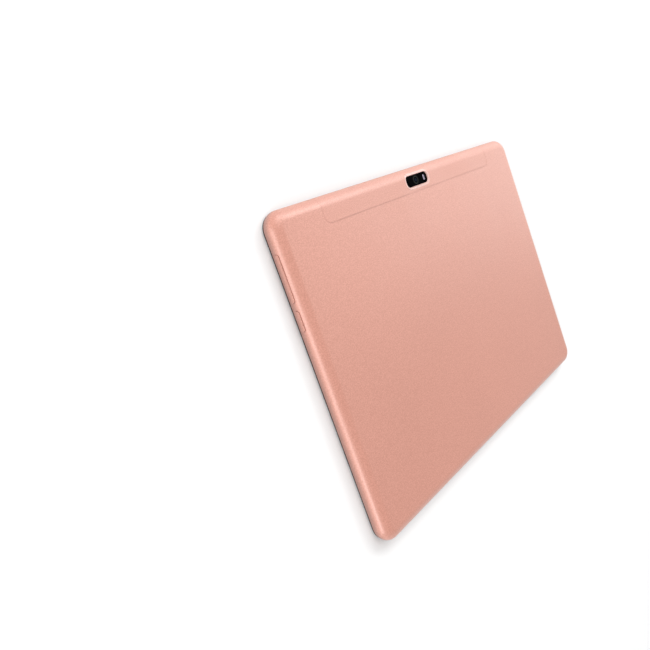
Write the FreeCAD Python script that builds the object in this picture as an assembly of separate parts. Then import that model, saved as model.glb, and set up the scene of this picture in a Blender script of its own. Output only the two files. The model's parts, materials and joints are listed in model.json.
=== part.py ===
import FreeCAD, Part
import math
import os

# Tablet computer, 10.1 inch class, lying on its display with the rear cover up.
# Origin: centre of the footprint on the outer face of the display glass.
# +X runs along the long edge, +Y points at the long edge that carries the camera window, +Z is up.

# ---- outer body -------------------------------------------------------------------------------
BODY_LENGTH = 242.0
BODY_DEPTH = 170.0
BODY_HEIGHT = 8.8
CORNER_RADIUS = 9.25
ROLL_WIDTH = 6.5          # how far the rolled edge reaches in from the side wall
WALL_PEAK_Z = 3.3         # height at which the side wall stands furthest out
SIDE_RADIUS = 3.6         # roll radius next to the side wall
SHELL_BASE_Z = 1.1        # lower rim of the rear cover
BASE_INSET = 0.45         # how far the lower rim is drawn in
SHELL_WALL = 1.0

# ---- display stack, from the floor up ---------------------------------------------------------
GLASS_INSET = 1.35
GLASS_THICKNESS = 0.7
BEZEL_INSET = 0.7
BEZEL_LIP_Z = 0.2
GLASS_TAPE_THICKNESS = 0.1
GLASS_TAPE_WIDTH = 2.4
MODULE_LENGTH = 228.0     # outline of the LCD module
MODULE_DEPTH = 148.0
TOUCH_THICKNESS = 0.2
LCD_THICKNESS = 0.9
BACKLIGHT_THICKNESS = 0.95
CHASSIS_THICKNESS = 0.3
MODULE_GAP = 0.5          # air between the module and the frame wall around it
FRAME_WALL_X = 1.5
FRAME_WALL_Y = 3.0
SKIRT_INSET = 1.7         # locating skirt just inside the rear cover's wall
SKIRT_WIDTH = 0.8
SKIRT_TOP_Z = 2.25

# ---- lift-off card cover over the card slots --------------------------------------------------
STRIP_LENGTH = 173.0
STRIP_FRONT_Y = 70.5
STRIP_CORNER = 4.0
STRIP_LOW_Z = 2.4
STRIP_WALL = 0.8
STRIP_GAP = 0.12
SHELF_WALL = 0.75
SHELF_OVERLAP = 1.5
FINGER_WIDTH = 4.0
FINGER_THICKNESS = 0.8
FINGER_DEPTH = 1.55
FINGER_CLEARANCE = 0.35
FINGER_X = (-81.0, -58.0, -24.0, 26.0, 52.0, 76.0)
FINGER_Y = 71.9
CARD_BAY = (20.0, 78.0, 73.2, 82.0)   # x low, x high, y low, y high of the window over the slots

# ---- camera window ----------------------------------------------------------------------------
WINDOW_Y = 77.0
WINDOW_LENGTH = 22.3
WINDOW_DEPTH = 6.6
WINDOW_CORNER = 2.7
WINDOW_TOP_Z = 8.35
WINDOW_THICKNESS = 0.8
WINDOW_SEAT = 0.4
TRIM_WIDTH = 1.5
TRIM_PROUD = 0.12
TRIM_CHAMFER = 0.55
TRIM_HEIGHT = 1.3
FLASH_X = 7.7
FLASH_LENGTH = 1.5
FLASH_DEPTH = 3.2
CAMERA_X = -1.0

# ---- side keys on the -X wall -----------------------------------------------------------------
KEY_Z = 3.8
KEY_HEIGHT = 2.3
KEY_GAP = 0.15
KEY_PROUD = 0.35
ROCKER_Y = 53.7
ROCKER_LENGTH = 23.6
POWER_Y = 32.8
POWER_LENGTH = 10.2
FLANGE_INSET = 1.4
FLANGE_THICKNESS = 0.5
FLANGE_OVERHANG = 0.6
FLANGE_HEIGHT = 2.9
PLUNGER_RADIUS = 0.8
ROCKER_PLUNGER_OFFSET = 8.5
ROCKER_PLUNGER_TIP = 2.35
POWER_PLUNGER_TIP = 2.3
SWITCH_FACE_INSET = 2.65
SWITCH_THICKNESS = 0.65
KEY_BOARD_THICKNESS = 0.6
KEY_BOARD_HEIGHT = 2.6

# ---- ports on the +Y wall and holes in the other walls ----------------------------------------
JACK_Y = 26.0
JACK_Z = 5.0
JACK_BORE_RADIUS = 1.8
JACK_NOSE_RADIUS = 2.15
JACK_MOUTH_X = 118.9
JACK_SHOULDER_X = 117.1
JACK_REAR_X = 105.1
JACK_BACK_WALL = 0.5
JACK_WIDTH = 6.0
USB_Y = 39.0
USB_Z = 4.9
USB_WIDTH = 7.5
USB_HEIGHT = 2.5
USB_MOUTH_X = 119.6
USB_DEPTH = 5.3
USB_SHELL = 0.3
PORT_CLEARANCE = 0.3
FRONT_CAMERA_X = -22.0
FRONT_CAMERA_Y = 80.4
MIC_Y = 58.0
MIC_Z = 4.9
MIC_HOLE_RADIUS = 0.5
SPEAKER_X = 85.0
SPEAKER_LENGTH = 28.0
SPEAKER_DEPTH = 4.4
SPEAKER_HEIGHT = 4.2
SPEAKER_BACK_Y = -78.0
SPEAKER_HOLE_RADIUS = 0.6
SPEAKER_HOLE_PITCH = 2.4
SPEAKER_HOLES = 10

# ---- electronics ------------------------------------------------------------------------------
BATTERY_LENGTH = 74.0
BATTERY_DEPTH = 90.0
BATTERY_HEIGHT = 3.6
BATTERY_Y = -9.0
BATTERY_SPACING = 76.5
BATTERY_TAPE = 0.15
BOARD_STANDOFF = 0.6
BOARD_THICKNESS = 0.8
BOARD_X = (-62.0, 112.0)
BOARD_Y = (46.0, 69.6)
BOARD_WING_X = (4.0, 93.0)
BOARD_WING_Y = 80.2
BOARD_SIDE_X = (102.5, 116.2)
BOARD_SIDE_Y = (12.0, 47.0)
SHIELD_SHEET = 0.2
SHIELD_HEIGHT = 1.6
SIM_X = (30.0, 49.0)
SIM_WIDTH = 15.5
MICROSD_X = 68.0
MICROSD_WIDTH = 14.0
SLOT_DEPTH = 14.5
SLOT_HEIGHT = 1.4
SLOT_MOUTH_Y = 72.4
DISPLAY_FLEX_X = (-34.0, -10.0)
TOUCH_FLEX_X = (22.0, 33.0)
ANTENNA_END_Y = 78.3
SCREW_HEAD_RADIUS = 1.5
SCREW_HEAD_HEIGHT = 0.5
SCREW_SHANK_RADIUS = 0.7
BOSS_RADIUS = 2.0
BOSS_TOP_Z = 5.5
BOSS_Y = 78.5
BOSS_X = (-78.0, -40.0, 16.0, 84.0)
COVER_BOSS_RADIUS = 2.6
COUNTERBORE_Z = 6.8
COUNTERBORE_RADIUS = 1.9

# ---- derived levels and outlines --------------------------------------------------------------
HALF_X = BODY_LENGTH / 2
HALF_Y = BODY_DEPTH / 2
BEZEL_BASE_Z = GLASS_THICKNESS + GLASS_TAPE_THICKNESS
LCD_Z = GLASS_THICKNESS + TOUCH_THICKNESS
BACKLIGHT_Z = LCD_Z + LCD_THICKNESS
CHASSIS_Z = BACKLIGHT_Z + BACKLIGHT_THICKNESS + 0.1
FLOOR_Z = CHASSIS_Z + CHASSIS_THICKNESS
BOARD_Z = FLOOR_Z + BOARD_STANDOFF
PARTS_Z = BOARD_Z + BOARD_THICKNESS
BACK_INNER_Z = BODY_HEIGHT - SHELL_WALL
SHELF_LOW_Z = BACK_INNER_Z - SHELF_WALL
ROLL_RISE = BODY_HEIGHT - WALL_PEAK_Z
CROWN_RADIUS = ((ROLL_WIDTH - SIDE_RADIUS) ** 2 + ROLL_RISE ** 2 - SIDE_RADIUS ** 2) / (
    2 * (ROLL_RISE - SIDE_RADIUS)
)
BASE_DROP = WALL_PEAK_Z - SHELL_BASE_Z
BASE_RADIUS = (BASE_DROP ** 2 + BASE_INSET ** 2) / (2 * BASE_INSET)
TRIM_LENGTH = WINDOW_LENGTH + 2 * TRIM_WIDTH
TRIM_DEPTH = WINDOW_DEPTH + 2 * TRIM_WIDTH
FRAME_POCKET_X = MODULE_LENGTH + 2 * MODULE_GAP
FRAME_POCKET_Y = MODULE_DEPTH + 2 * MODULE_GAP
CHASSIS_LENGTH = FRAME_POCKET_X + 2 * FRAME_WALL_X
CHASSIS_DEPTH = FRAME_POCKET_Y + 2 * FRAME_WALL_Y
CHASSIS_SCREW_Y = (FRAME_POCKET_Y + FRAME_WALL_Y) / 2
CHASSIS_SCREW_X = (-112.0, -56.0, 56.0, 112.0)
BOARD_SCREWS = ((-58.0, 50.0), (-6.0, 50.0), (74.0, 50.0), (108.0, 50.0), (-58.0, 66.0), (88.0, 75.0),
                (109.0, 16.0))

UP = FreeCAD.Vector(0, 0, 1)


def block(x_low, x_high, y_low, y_high, z_low, z_high):
    """Square-edged block between six planes."""
    corner = FreeCAD.Vector(x_low, y_low, z_low)
    return Part.makeBox(x_high - x_low, y_high - y_low, z_high - z_low, corner)


def centred_block(x, y, length, depth, z_low, z_high):
    """Square-edged block centred on x, y."""
    return block(x - length / 2, x + length / 2, y - depth / 2, y + depth / 2, z_low, z_high)


def rounded_wire(x, y, length, depth, radius, z):
    """Closed rounded rectangle in the plane at height z."""
    half_x = length / 2
    half_y = depth / 2
    diagonal = radius * (1 - math.sqrt(0.5))
    edges = []
    for sign_x, sign_y, first_along_y in ((1, 1, True), (-1, 1, False), (-1, -1, True), (1, -1, False)):
        on_x_side = FreeCAD.Vector(x + sign_x * half_x, y + sign_y * (half_y - radius), z)
        on_y_side = FreeCAD.Vector(x + sign_x * (half_x - radius), y + sign_y * half_y, z)
        middle = FreeCAD.Vector(x + sign_x * (half_x - diagonal), y + sign_y * (half_y - diagonal), z)
        start = on_x_side if first_along_y else on_y_side
        end = on_y_side if first_along_y else on_x_side
        if edges and (edges[-1].Vertexes[-1].Point - start).Length > 1e-6:
            edges.append(Part.makeLine(edges[-1].Vertexes[-1].Point, start))
        edges.append(Part.Arc(start, middle, end).toShape())
    first = edges[0].Vertexes[0].Point
    if (edges[-1].Vertexes[-1].Point - first).Length > 1e-6:
        edges.append(Part.makeLine(edges[-1].Vertexes[-1].Point, first))
    return Part.Wire(edges)


def rounded_block(x, y, length, depth, radius, z_low, z_high):
    """Upright prism on a rounded rectangle."""
    face = Part.Face(rounded_wire(x, y, length, depth, radius, z_low))
    return face.extrude(UP * (z_high - z_low))


def inset_block(inset, z_low, z_high):
    """Upright prism on the body's outline drawn in by inset."""
    length = BODY_LENGTH - 2 * inset
    depth = BODY_DEPTH - 2 * inset
    return rounded_block(0, 0, length, depth, CORNER_RADIUS - inset, z_low, z_high)


def upright_pin(x, y, radius, z_low, z_high):
    """Upright cylinder."""
    return Part.makeCylinder(radius, z_high - z_low, FreeCAD.Vector(x, y, z_low), UP)


def pin_along_x(x_low, x_high, y, z, radius):
    """Cylinder along X."""
    return Part.makeCylinder(radius, x_high - x_low, FreeCAD.Vector(x_low, y, z), FreeCAD.Vector(1, 0, 0))


def pin_along_y(x, y_low, y_high, z, radius):
    """Cylinder along Y."""
    return Part.makeCylinder(radius, y_high - y_low, FreeCAD.Vector(x, y_low, z), FreeCAD.Vector(0, 1, 0))


def fuse_all(solids):
    """One solid from several that touch or overlap."""
    first = solids[0]
    rest = solids[1:]
    return first.multiFuse(rest).removeSplitter() if rest else first


def cut_all(solid, tools):
    """Solid with every tool taken away."""
    return solid.cut(tools).removeSplitter()


def section_face(offset, z_low):
    """Half section of a rolled corner in the XZ plane, with the corner's axis on Z.

    offset moves the whole outer profile inwards, or outwards if it is negative.
    """
    top_z = BODY_HEIGHT - offset
    base_inset = BASE_RADIUS - math.sqrt((BASE_RADIUS - offset) ** 2 - (WALL_PEAK_Z - z_low) ** 2)
    half_drop = (WALL_PEAK_Z - z_low) / 2
    middle_inset = BASE_RADIUS - math.sqrt((BASE_RADIUS - offset) ** 2 - half_drop ** 2)
    crown_z = BODY_HEIGHT - CROWN_RADIUS
    join_angle = math.atan2(WALL_PEAK_Z - crown_z, ROLL_WIDTH - SIDE_RADIUS)

    def side_point(angle):
        inset = SIDE_RADIUS - (SIDE_RADIUS - offset) * math.cos(angle)
        height = WALL_PEAK_Z + (SIDE_RADIUS - offset) * math.sin(angle)
        return FreeCAD.Vector(CORNER_RADIUS - inset, 0, height)

    def crown_point(angle):
        inset = ROLL_WIDTH - (CROWN_RADIUS - offset) * math.cos(angle)
        height = crown_z + (CROWN_RADIUS - offset) * math.sin(angle)
        return FreeCAD.Vector(CORNER_RADIUS - inset, 0, height)

    axis_low = FreeCAD.Vector(0, 0, z_low)
    axis_high = FreeCAD.Vector(0, 0, top_z)
    rim = FreeCAD.Vector(CORNER_RADIUS - base_inset, 0, z_low)
    waist = FreeCAD.Vector(CORNER_RADIUS - middle_inset, 0, z_low + half_drop)
    peak = side_point(0)
    join = side_point(join_angle)
    crown_end = crown_point(math.pi / 2)
    edges = [
        Part.makeLine(axis_low, rim),
        Part.Arc(rim, waist, peak).toShape(),
        Part.Arc(peak, side_point(join_angle / 2), join).toShape(),
        Part.Arc(join, crown_point((join_angle + math.pi / 2) / 2), crown_end).toShape(),
        Part.makeLine(crown_end, axis_high),
        Part.makeLine(axis_high, axis_low),
    ]
    return Part.Face(Part.Wire(edges))


def rolled_block(offset, z_low):
    """The body's full outer form, offset inwards, from z_low up to the back."""
    straight_x = HALF_X - CORNER_RADIUS
    straight_y = HALF_Y - CORNER_RADIUS
    face = section_face(offset, z_low)
    pieces = [block(-straight_x, straight_x, -straight_y, straight_y, z_low, BODY_HEIGHT - offset)]
    origin = FreeCAD.Vector(0, 0, 0)
    for quarter, (sign_x, sign_y) in enumerate(((1, 1), (-1, 1), (-1, -1), (1, -1))):
        corner = face.revolve(origin, UP, 90)
        corner.rotate(origin, UP, 90 * quarter)
        corner.translate(FreeCAD.Vector(sign_x * straight_x, sign_y * straight_y, 0))
        pieces.append(corner)
    for quarter in range(4):
        along_x = quarter % 2 == 1
        run = 2 * (straight_x if along_x else straight_y)
        side = face.extrude(FreeCAD.Vector(0, run, 0))
        side.translate(FreeCAD.Vector(straight_y if along_x else straight_x, -run / 2, 0))
        side.rotate(origin, UP, 90 * quarter)
        pieces.append(side)
    return fuse_all(pieces)


def strip_zone(grow, z_low):
    """Plan area of the card cover as a tall prism, open past the +Y wall, grown by grow."""
    y_low = STRIP_FRONT_Y - grow
    depth = 2 * (HALF_Y + 10 - y_low)
    length = STRIP_LENGTH + 2 * grow
    radius = max(STRIP_CORNER + grow, 0.5)
    zone = rounded_block(0, y_low + depth / 2, length, depth, radius, z_low, BODY_HEIGHT + 2)
    return zone


def key_slot(y, length, grow):
    """Obround prism along X through the -X wall for a side key."""
    height = KEY_HEIGHT + 2 * grow
    radius = height / 2
    half_run = (length + 2 * grow) / 2 - radius
    x_low = -HALF_X - 2
    x_high = -HALF_X + 3
    middle = block(x_low, x_high, y - half_run, y + half_run, KEY_Z - radius, KEY_Z + radius)
    ends = [pin_along_x(x_low, x_high, y + sign * half_run, KEY_Z, radius) for sign in (-1, 1)]
    return fuse_all([middle] + ends)


def flange_pocket(y, length):
    """Clearance behind the -X wall for a key's flange."""
    reach = length / 2 + FLANGE_OVERHANG + 0.5
    half_height = FLANGE_HEIGHT / 2 + 0.3
    x_low = -HALF_X + SHELL_WALL
    return block(x_low, x_low + 3, y - reach, y + reach, KEY_Z - half_height, KEY_Z + half_height)


def usb_opening():
    """Rounded slot through the +X wall for the USB socket."""
    half_width = USB_WIDTH / 2 + PORT_CLEARANCE
    half_height = USB_HEIGHT / 2 + PORT_CLEARANCE
    radius = 0.9
    profile = rounded_block(0, 0, 2 * half_height, 2 * half_width, radius, 0, 12)
    profile.rotate(FreeCAD.Vector(0, 0, 0), FreeCAD.Vector(0, 1, 0), 90)
    profile.translate(FreeCAD.Vector(HALF_X - 8, USB_Y, USB_Z))
    return profile


def jack_clearance(x_low):
    """Room round the headphone socket's housing, from x_low to past the +X wall."""
    half_width = JACK_WIDTH / 2 + 0.3
    return block(x_low, HALF_X + 5, JACK_Y - half_width, JACK_Y + half_width, 0, BODY_HEIGHT)


def speaker_holes():
    """Row of round holes through the -Y wall in front of each speaker."""
    holes = []
    for side in (-1, 1):
        for index in range(SPEAKER_HOLES):
            x = side * SPEAKER_X + (index - (SPEAKER_HOLES - 1) / 2) * SPEAKER_HOLE_PITCH
            holes.append(pin_along_y(x, -HALF_Y - 1, -HALF_Y + 3, WALL_PEAK_Z, SPEAKER_HOLE_RADIUS))
    return holes


def rear_cover():
    """Formed metal back with its rolled edge, and the recessed shelf under the card cover."""
    outer = rolled_block(0, SHELL_BASE_Z)
    inner = rolled_block(SHELL_WALL, SHELL_BASE_Z - 0.5)
    skin = cut_all(outer, [inner, strip_zone(0, STRIP_LOW_Z)])
    under_skin = rolled_block(SHELL_WALL, SHELL_BASE_Z)
    shelf_form = under_skin.cut(rolled_block(SHELL_WALL + SHELF_WALL, 0.6))
    shelf = shelf_form.common(strip_zone(SHELF_OVERLAP, SHELL_BASE_Z))
    boss_z = (BOSS_TOP_Z + 0.1, BACK_INNER_Z)
    boss_form = fuse_all([upright_pin(x, BOSS_Y, COVER_BOSS_RADIUS, *boss_z) for x in BOSS_X])
    bosses = boss_form.common(under_skin)
    body = fuse_all([skin, shelf] + bosses.Solids)
    cuts = [upright_pin(x, BOSS_Y, COUNTERBORE_RADIUS, COUNTERBORE_Z, BODY_HEIGHT) for x in BOSS_X]
    cuts += [upright_pin(x, BOSS_Y, SCREW_SHANK_RADIUS + 0.15, BOSS_TOP_Z - 1, BODY_HEIGHT) for x in BOSS_X]
    cuts += [finger(x, FINGER_CLEARANCE) for x in FINGER_X]
    cuts.append(block(CARD_BAY[0], CARD_BAY[1], CARD_BAY[2], CARD_BAY[3], SHELF_LOW_Z - 2, BODY_HEIGHT))
    trim_room = (TRIM_LENGTH + 1, TRIM_DEPTH + 1, TRIM_DEPTH / 2 - 0.1)
    cuts.append(rounded_block(0, WINDOW_Y, *trim_room, SHELF_LOW_Z - 1, BODY_HEIGHT))
    cuts += [key_slot(ROCKER_Y, ROCKER_LENGTH, KEY_GAP), key_slot(POWER_Y, POWER_LENGTH, KEY_GAP)]
    cuts += [flange_pocket(ROCKER_Y, ROCKER_LENGTH), flange_pocket(POWER_Y, POWER_LENGTH)]
    cuts.append(usb_opening())
    cuts.append(pin_along_x(JACK_SHOULDER_X - 2, HALF_X + 1, JACK_Y, JACK_Z, JACK_NOSE_RADIUS + 0.15))
    cuts.append(pin_along_x(HALF_X - 4, HALF_X + 1, MIC_Y, MIC_Z, MIC_HOLE_RADIUS))
    cuts += speaker_holes()
    return cut_all(body, cuts)


def finger(x, grow):
    """Locating finger under the card cover, or its slot when grown."""
    z_low = BACK_INNER_Z - FINGER_DEPTH - grow
    z_high = BODY_HEIGHT - STRIP_WALL / 2 + grow
    length = FINGER_WIDTH + 2 * grow
    depth = FINGER_THICKNESS + 2 * grow
    return centred_block(x, FINGER_Y + FINGER_THICKNESS / 2, length, depth, z_low, z_high)


def card_cover():
    """Thin moulded strip over the card slots, wrapped over the +Y edge, with the camera opening."""
    outer = rolled_block(0, SHELL_BASE_Z)
    inner = rolled_block(STRIP_WALL, SHELL_BASE_Z - 0.5)
    strip = outer.cut(inner).common(strip_zone(-STRIP_GAP, STRIP_LOW_Z + STRIP_GAP))
    body = fuse_all([strip] + [finger(x, 0) for x in FINGER_X])
    opening = rounded_block(
        0, WINDOW_Y, TRIM_LENGTH, TRIM_DEPTH, WINDOW_CORNER + TRIM_WIDTH, SHELF_LOW_Z - 1, BODY_HEIGHT + 1
    )
    return cut_all(body, [opening])


def camera_trim_ring():
    """Bright ring around the camera window, following the back, with a bevel down to the window."""
    low_z = WINDOW_TOP_Z - WINDOW_THICKNESS - 0.1
    high_z = BODY_HEIGHT + 1
    radius = WINDOW_CORNER + TRIM_WIDTH
    ring = rounded_block(0, WINDOW_Y, TRIM_LENGTH - 0.04, TRIM_DEPTH - 0.04, radius, low_z, high_z)
    ring = ring.common(rolled_block(-TRIM_PROUD, SHELL_BASE_Z))
    seat = WINDOW_SEAT + 0.05
    rebate = rounded_block(
        0, WINDOW_Y, WINDOW_LENGTH + 2 * seat, WINDOW_DEPTH + 2 * seat, WINDOW_CORNER + seat, low_z - 1,
        WINDOW_TOP_Z
    )
    low_wire = rounded_wire(0, WINDOW_Y, WINDOW_LENGTH, WINDOW_DEPTH, WINDOW_CORNER, WINDOW_TOP_Z - 0.01)
    high_wire = rounded_wire(
        0, WINDOW_Y, WINDOW_LENGTH + 2 * TRIM_CHAMFER, WINDOW_DEPTH + 2 * TRIM_CHAMFER,
        WINDOW_CORNER + TRIM_CHAMFER, BODY_HEIGHT + TRIM_PROUD + 0.01
    )
    bevel = Part.makeLoft([low_wire, high_wire], True, True)
    return cut_all(ring, [rebate, bevel])


def camera_window():
    """Dark glass over the camera, with a slot for the flash lens."""
    seat = WINDOW_SEAT
    glass = rounded_block(
        0, WINDOW_Y, WINDOW_LENGTH + 2 * seat, WINDOW_DEPTH + 2 * seat, WINDOW_CORNER + seat,
        WINDOW_TOP_Z - WINDOW_THICKNESS, WINDOW_TOP_Z
    )
    slot = rounded_block(
        FLASH_X, WINDOW_Y, FLASH_LENGTH + 0.1, FLASH_DEPTH + 0.1, 0.6, WINDOW_TOP_Z - 2, WINDOW_TOP_Z + 1
    )
    return cut_all(glass, [slot])


def flash_lens():
    """Milky lens of the flash, let into the camera window."""
    low_z = WINDOW_TOP_Z - WINDOW_THICKNESS - 0.2
    return rounded_block(FLASH_X, WINDOW_Y, FLASH_LENGTH, FLASH_DEPTH, 0.55, low_z, WINDOW_TOP_Z - 0.05)


def side_key(y, length, plungers, tip_inset):
    """Side key: curved cap through the wall, flange behind it and plungers towards the switches."""
    form = rolled_block(-KEY_PROUD, SHELL_BASE_Z)
    behind = block(-HALF_X + FLANGE_INSET + 0.1, 0, y - length, y + length, 0, BODY_HEIGHT + 1)
    cap = key_slot(y, length, 0).common(form).cut(behind)
    half_flange = length / 2 + FLANGE_OVERHANG
    x_flange = -HALF_X + FLANGE_INSET
    flange = block(
        x_flange, x_flange + FLANGE_THICKNESS, y - half_flange, y + half_flange,
        KEY_Z - FLANGE_HEIGHT / 2, KEY_Z + FLANGE_HEIGHT / 2
    )
    x_tip = -HALF_X + tip_inset
    pins = [pin_along_x(x_flange, x_tip, y + step, KEY_Z, PLUNGER_RADIUS) for step in plungers]
    return fuse_all([cap, flange] + pins)


def volume_rocker():
    """Volume key with a plunger near each end."""
    steps = (-ROCKER_PLUNGER_OFFSET, ROCKER_PLUNGER_OFFSET)
    return side_key(ROCKER_Y, ROCKER_LENGTH, steps, ROCKER_PLUNGER_TIP)


def power_button():
    """Power key with one central plunger."""
    return side_key(POWER_Y, POWER_LENGTH, (0,), POWER_PLUNGER_TIP)


def key_switch(y):
    """Side-acting switch: a block with a round raised dome facing the key."""
    x_face = -HALF_X + SWITCH_FACE_INSET
    x_back = x_face + SWITCH_THICKNESS
    body = block(x_face + 0.25, x_back, y - 1.9, y + 1.9, KEY_Z - 1.15, KEY_Z + 1.15)
    dome = pin_along_x(x_face, x_back, y, KEY_Z, 0.85)
    return fuse_all([body, dome])


def side_key_board():
    """Narrow upright circuit board that carries the three switches."""
    x_face = -HALF_X + SWITCH_FACE_INSET + SWITCH_THICKNESS
    z_low = KEY_Z - KEY_BOARD_HEIGHT / 2
    y_low = POWER_Y - POWER_LENGTH / 2
    y_high = ROCKER_Y + ROCKER_LENGTH / 2
    board = block(x_face, x_face + KEY_BOARD_THICKNESS, y_low, y_high, z_low, z_low + KEY_BOARD_HEIGHT)
    y_hole = (POWER_Y + ROCKER_Y) / 2 - 3
    return cut_all(board, [pin_along_x(x_face - 1, x_face + 2, y_hole, KEY_Z, 0.6)])


def key_bracket():
    """Bent metal angle that holds the switch board upright on the chassis."""
    x_face = -HALF_X + SWITCH_FACE_INSET + SWITCH_THICKNESS + KEY_BOARD_THICKNESS
    y_low = POWER_Y - POWER_LENGTH / 2 + 1
    y_high = ROCKER_Y + ROCKER_LENGTH / 2 - 1
    wall = block(x_face, x_face + 0.4, y_low, y_high, FLOOR_Z, KEY_Z + KEY_BOARD_HEIGHT / 2)
    foot = block(x_face, x_face + 4.5, y_low, y_high, FLOOR_Z, FLOOR_Z + 0.4)
    holes = [upright_pin(x_face + 2.7, y, 0.7, FLOOR_Z - 1, FLOOR_Z + 2) for y in (y_low + 4, y_high - 4)]
    return cut_all(fuse_all([wall, foot]), holes)


def front_glass():
    """Cover glass over the display, its face on the floor plane, with a small bevel."""
    glass = inset_block(GLASS_INSET, 0, GLASS_THICKNESS)
    rim = [edge for edge in glass.Edges if edge.BoundBox.ZMax < 1e-6]
    return glass.makeChamfer(0.15, rim)


def glass_tape():
    """Adhesive frame between the cover glass and the bezel."""
    outer = inset_block(GLASS_INSET + 0.2, GLASS_THICKNESS, BEZEL_BASE_Z)
    inner = inset_block(GLASS_INSET + 0.2 + GLASS_TAPE_WIDTH, 0, 2)
    return cut_all(outer, [inner])


def touch_sensor():
    """Thin touch film bonded behind the cover glass."""
    return rounded_block(0, 0, MODULE_LENGTH, MODULE_DEPTH, 1.0, GLASS_THICKNESS, LCD_Z)


def lcd_panel():
    """Liquid crystal panel, with its narrower rear glass leaving the driver ledge bare."""
    half = LCD_THICKNESS / 2
    front = centred_block(0, 0, MODULE_LENGTH - 1, MODULE_DEPTH - 1, LCD_Z, LCD_Z + half)
    rear = centred_block(0, -1.5, MODULE_LENGTH - 1, MODULE_DEPTH - 4, LCD_Z + half, BACKLIGHT_Z)
    return fuse_all([front, rear])


def backlight_unit():
    """Backlight tray: light guide in a shallow metal pan with pressed ribs."""
    top_z = BACKLIGHT_Z + BACKLIGHT_THICKNESS
    tray = centred_block(0, 0, MODULE_LENGTH, MODULE_DEPTH, BACKLIGHT_Z, top_z)
    ribs = []
    for x in (-75, -25, 25, 75):
        ribs.append(rounded_block(x, 0, 24, 96, 4, top_z - 0.15, top_z + 1))
    return cut_all(tray, ribs)


def front_frame():
    """Black bezel frame: lip round the glass, flange, wall round the display, skirt and screw bosses."""
    frame = inset_block(BEZEL_INSET, BEZEL_LIP_Z, SHELL_BASE_Z)
    glass_pocket = inset_block(GLASS_INSET - 0.05, BEZEL_LIP_Z - 1, BEZEL_BASE_Z)
    wall = rounded_block(0, 0, CHASSIS_LENGTH, CHASSIS_DEPTH, 2.5, SHELL_BASE_Z - 0.2, CHASSIS_Z)
    skirt = cut_all(
        inset_block(SKIRT_INSET, SHELL_BASE_Z - 0.2, SKIRT_TOP_Z),
        [inset_block(SKIRT_INSET + SKIRT_WIDTH, 0, SKIRT_TOP_Z + 1)],
    )
    half_strip = STRIP_LENGTH / 2 + 3
    skirt = skirt.cut(block(-half_strip, half_strip, BOSS_Y, HALF_Y, SHELL_BASE_Z - 1, SKIRT_TOP_Z + 1))
    bosses = [upright_pin(x, BOSS_Y, BOSS_RADIUS, SHELL_BASE_Z - 0.2, BOSS_TOP_Z) for x in BOSS_X]
    body = fuse_all([frame.cut(glass_pocket), wall, skirt] + bosses)
    pocket = rounded_block(0, 0, FRAME_POCKET_X, FRAME_POCKET_Y, 1.0, 0, CHASSIS_Z + 1)
    cuts = [pocket]
    thread_radius = SCREW_SHANK_RADIUS - 0.05
    cuts += [upright_pin(x, BOSS_Y, thread_radius, SHELL_BASE_Z + 0.2, BOSS_TOP_Z + 1) for x in BOSS_X]
    for x in CHASSIS_SCREW_X:
        for side in (-1, 1):
            y = side * CHASSIS_SCREW_Y
            cuts.append(upright_pin(x, y, thread_radius, SHELL_BASE_Z + 0.1, CHASSIS_Z + 1))
    cuts.append(upright_pin(FRONT_CAMERA_X, FRONT_CAMERA_Y, 2.3, 0, SHELL_BASE_Z + 1))
    return cut_all(body, cuts)


def chassis_plate():
    """Pressed steel plate behind the display, with the openings that the tall pieces need."""
    plate = rounded_block(0, 0, CHASSIS_LENGTH, CHASSIS_DEPTH, 2.5, CHASSIS_Z, FLOOR_Z)
    cuts = [upright_pin(x, BOSS_Y, BOSS_RADIUS + 0.2, CHASSIS_Z - 1, FLOOR_Z + 1) for x in BOSS_X]
    cuts.append(jack_clearance(JACK_REAR_X - 0.3))
    flex_gap_y = (MODULE_DEPTH + MODULE_GAP) / 2
    for x_low, x_high in (DISPLAY_FLEX_X, TOUCH_FLEX_X):
        cuts.append(block(x_low - 0.5, x_high + 0.5, flex_gap_y - 0.3, flex_gap_y + 0.3, 0, 9))
    for x in CHASSIS_SCREW_X:
        for side in (-1, 1):
            cuts.append(upright_pin(x, side * CHASSIS_SCREW_Y, SCREW_SHANK_RADIUS + 0.1, 0, 9))
    for x in (-98, 98):
        for y in (-58, -20, 20):
            cuts.append(rounded_block(x, y, 9, 24, 2, 0, 9))
    return cut_all(plate, cuts)


def edge_flex(x_range, z_low, y_end):
    """Thin flex that climbs past the display's edge and turns in over the chassis."""
    x_low, x_high = x_range
    y_edge = (MODULE_DEPTH + MODULE_GAP) / 2
    z_high = FLOOR_Z + 0.3
    riser = block(x_low, x_high, y_edge - 0.07, y_edge + 0.08, z_low, z_high)
    run = block(x_low, x_high, y_end, y_edge + 0.08, z_high - 0.15, z_high)
    return fuse_all([riser, run])


def display_flex():
    """Flex from the display panel to the main board."""
    return edge_flex(DISPLAY_FLEX_X, LCD_Z + 0.1, BOARD_Y[0] + 12)


def touch_flex():
    """Flex from the touch film to the main board."""
    return edge_flex(TOUCH_FLEX_X, GLASS_THICKNESS + 0.05, BOARD_Y[0] + 16)


def key_flex():
    """Flex from the side key board to the main board, lying on the chassis."""
    x_low = -HALF_X + SWITCH_FACE_INSET + SWITCH_THICKNESS + KEY_BOARD_THICKNESS + 5.2
    return block(x_low, BOARD_X[0] + 8, 52, 58, FLOOR_Z + 0.02, FLOOR_Z + 0.17)


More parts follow.
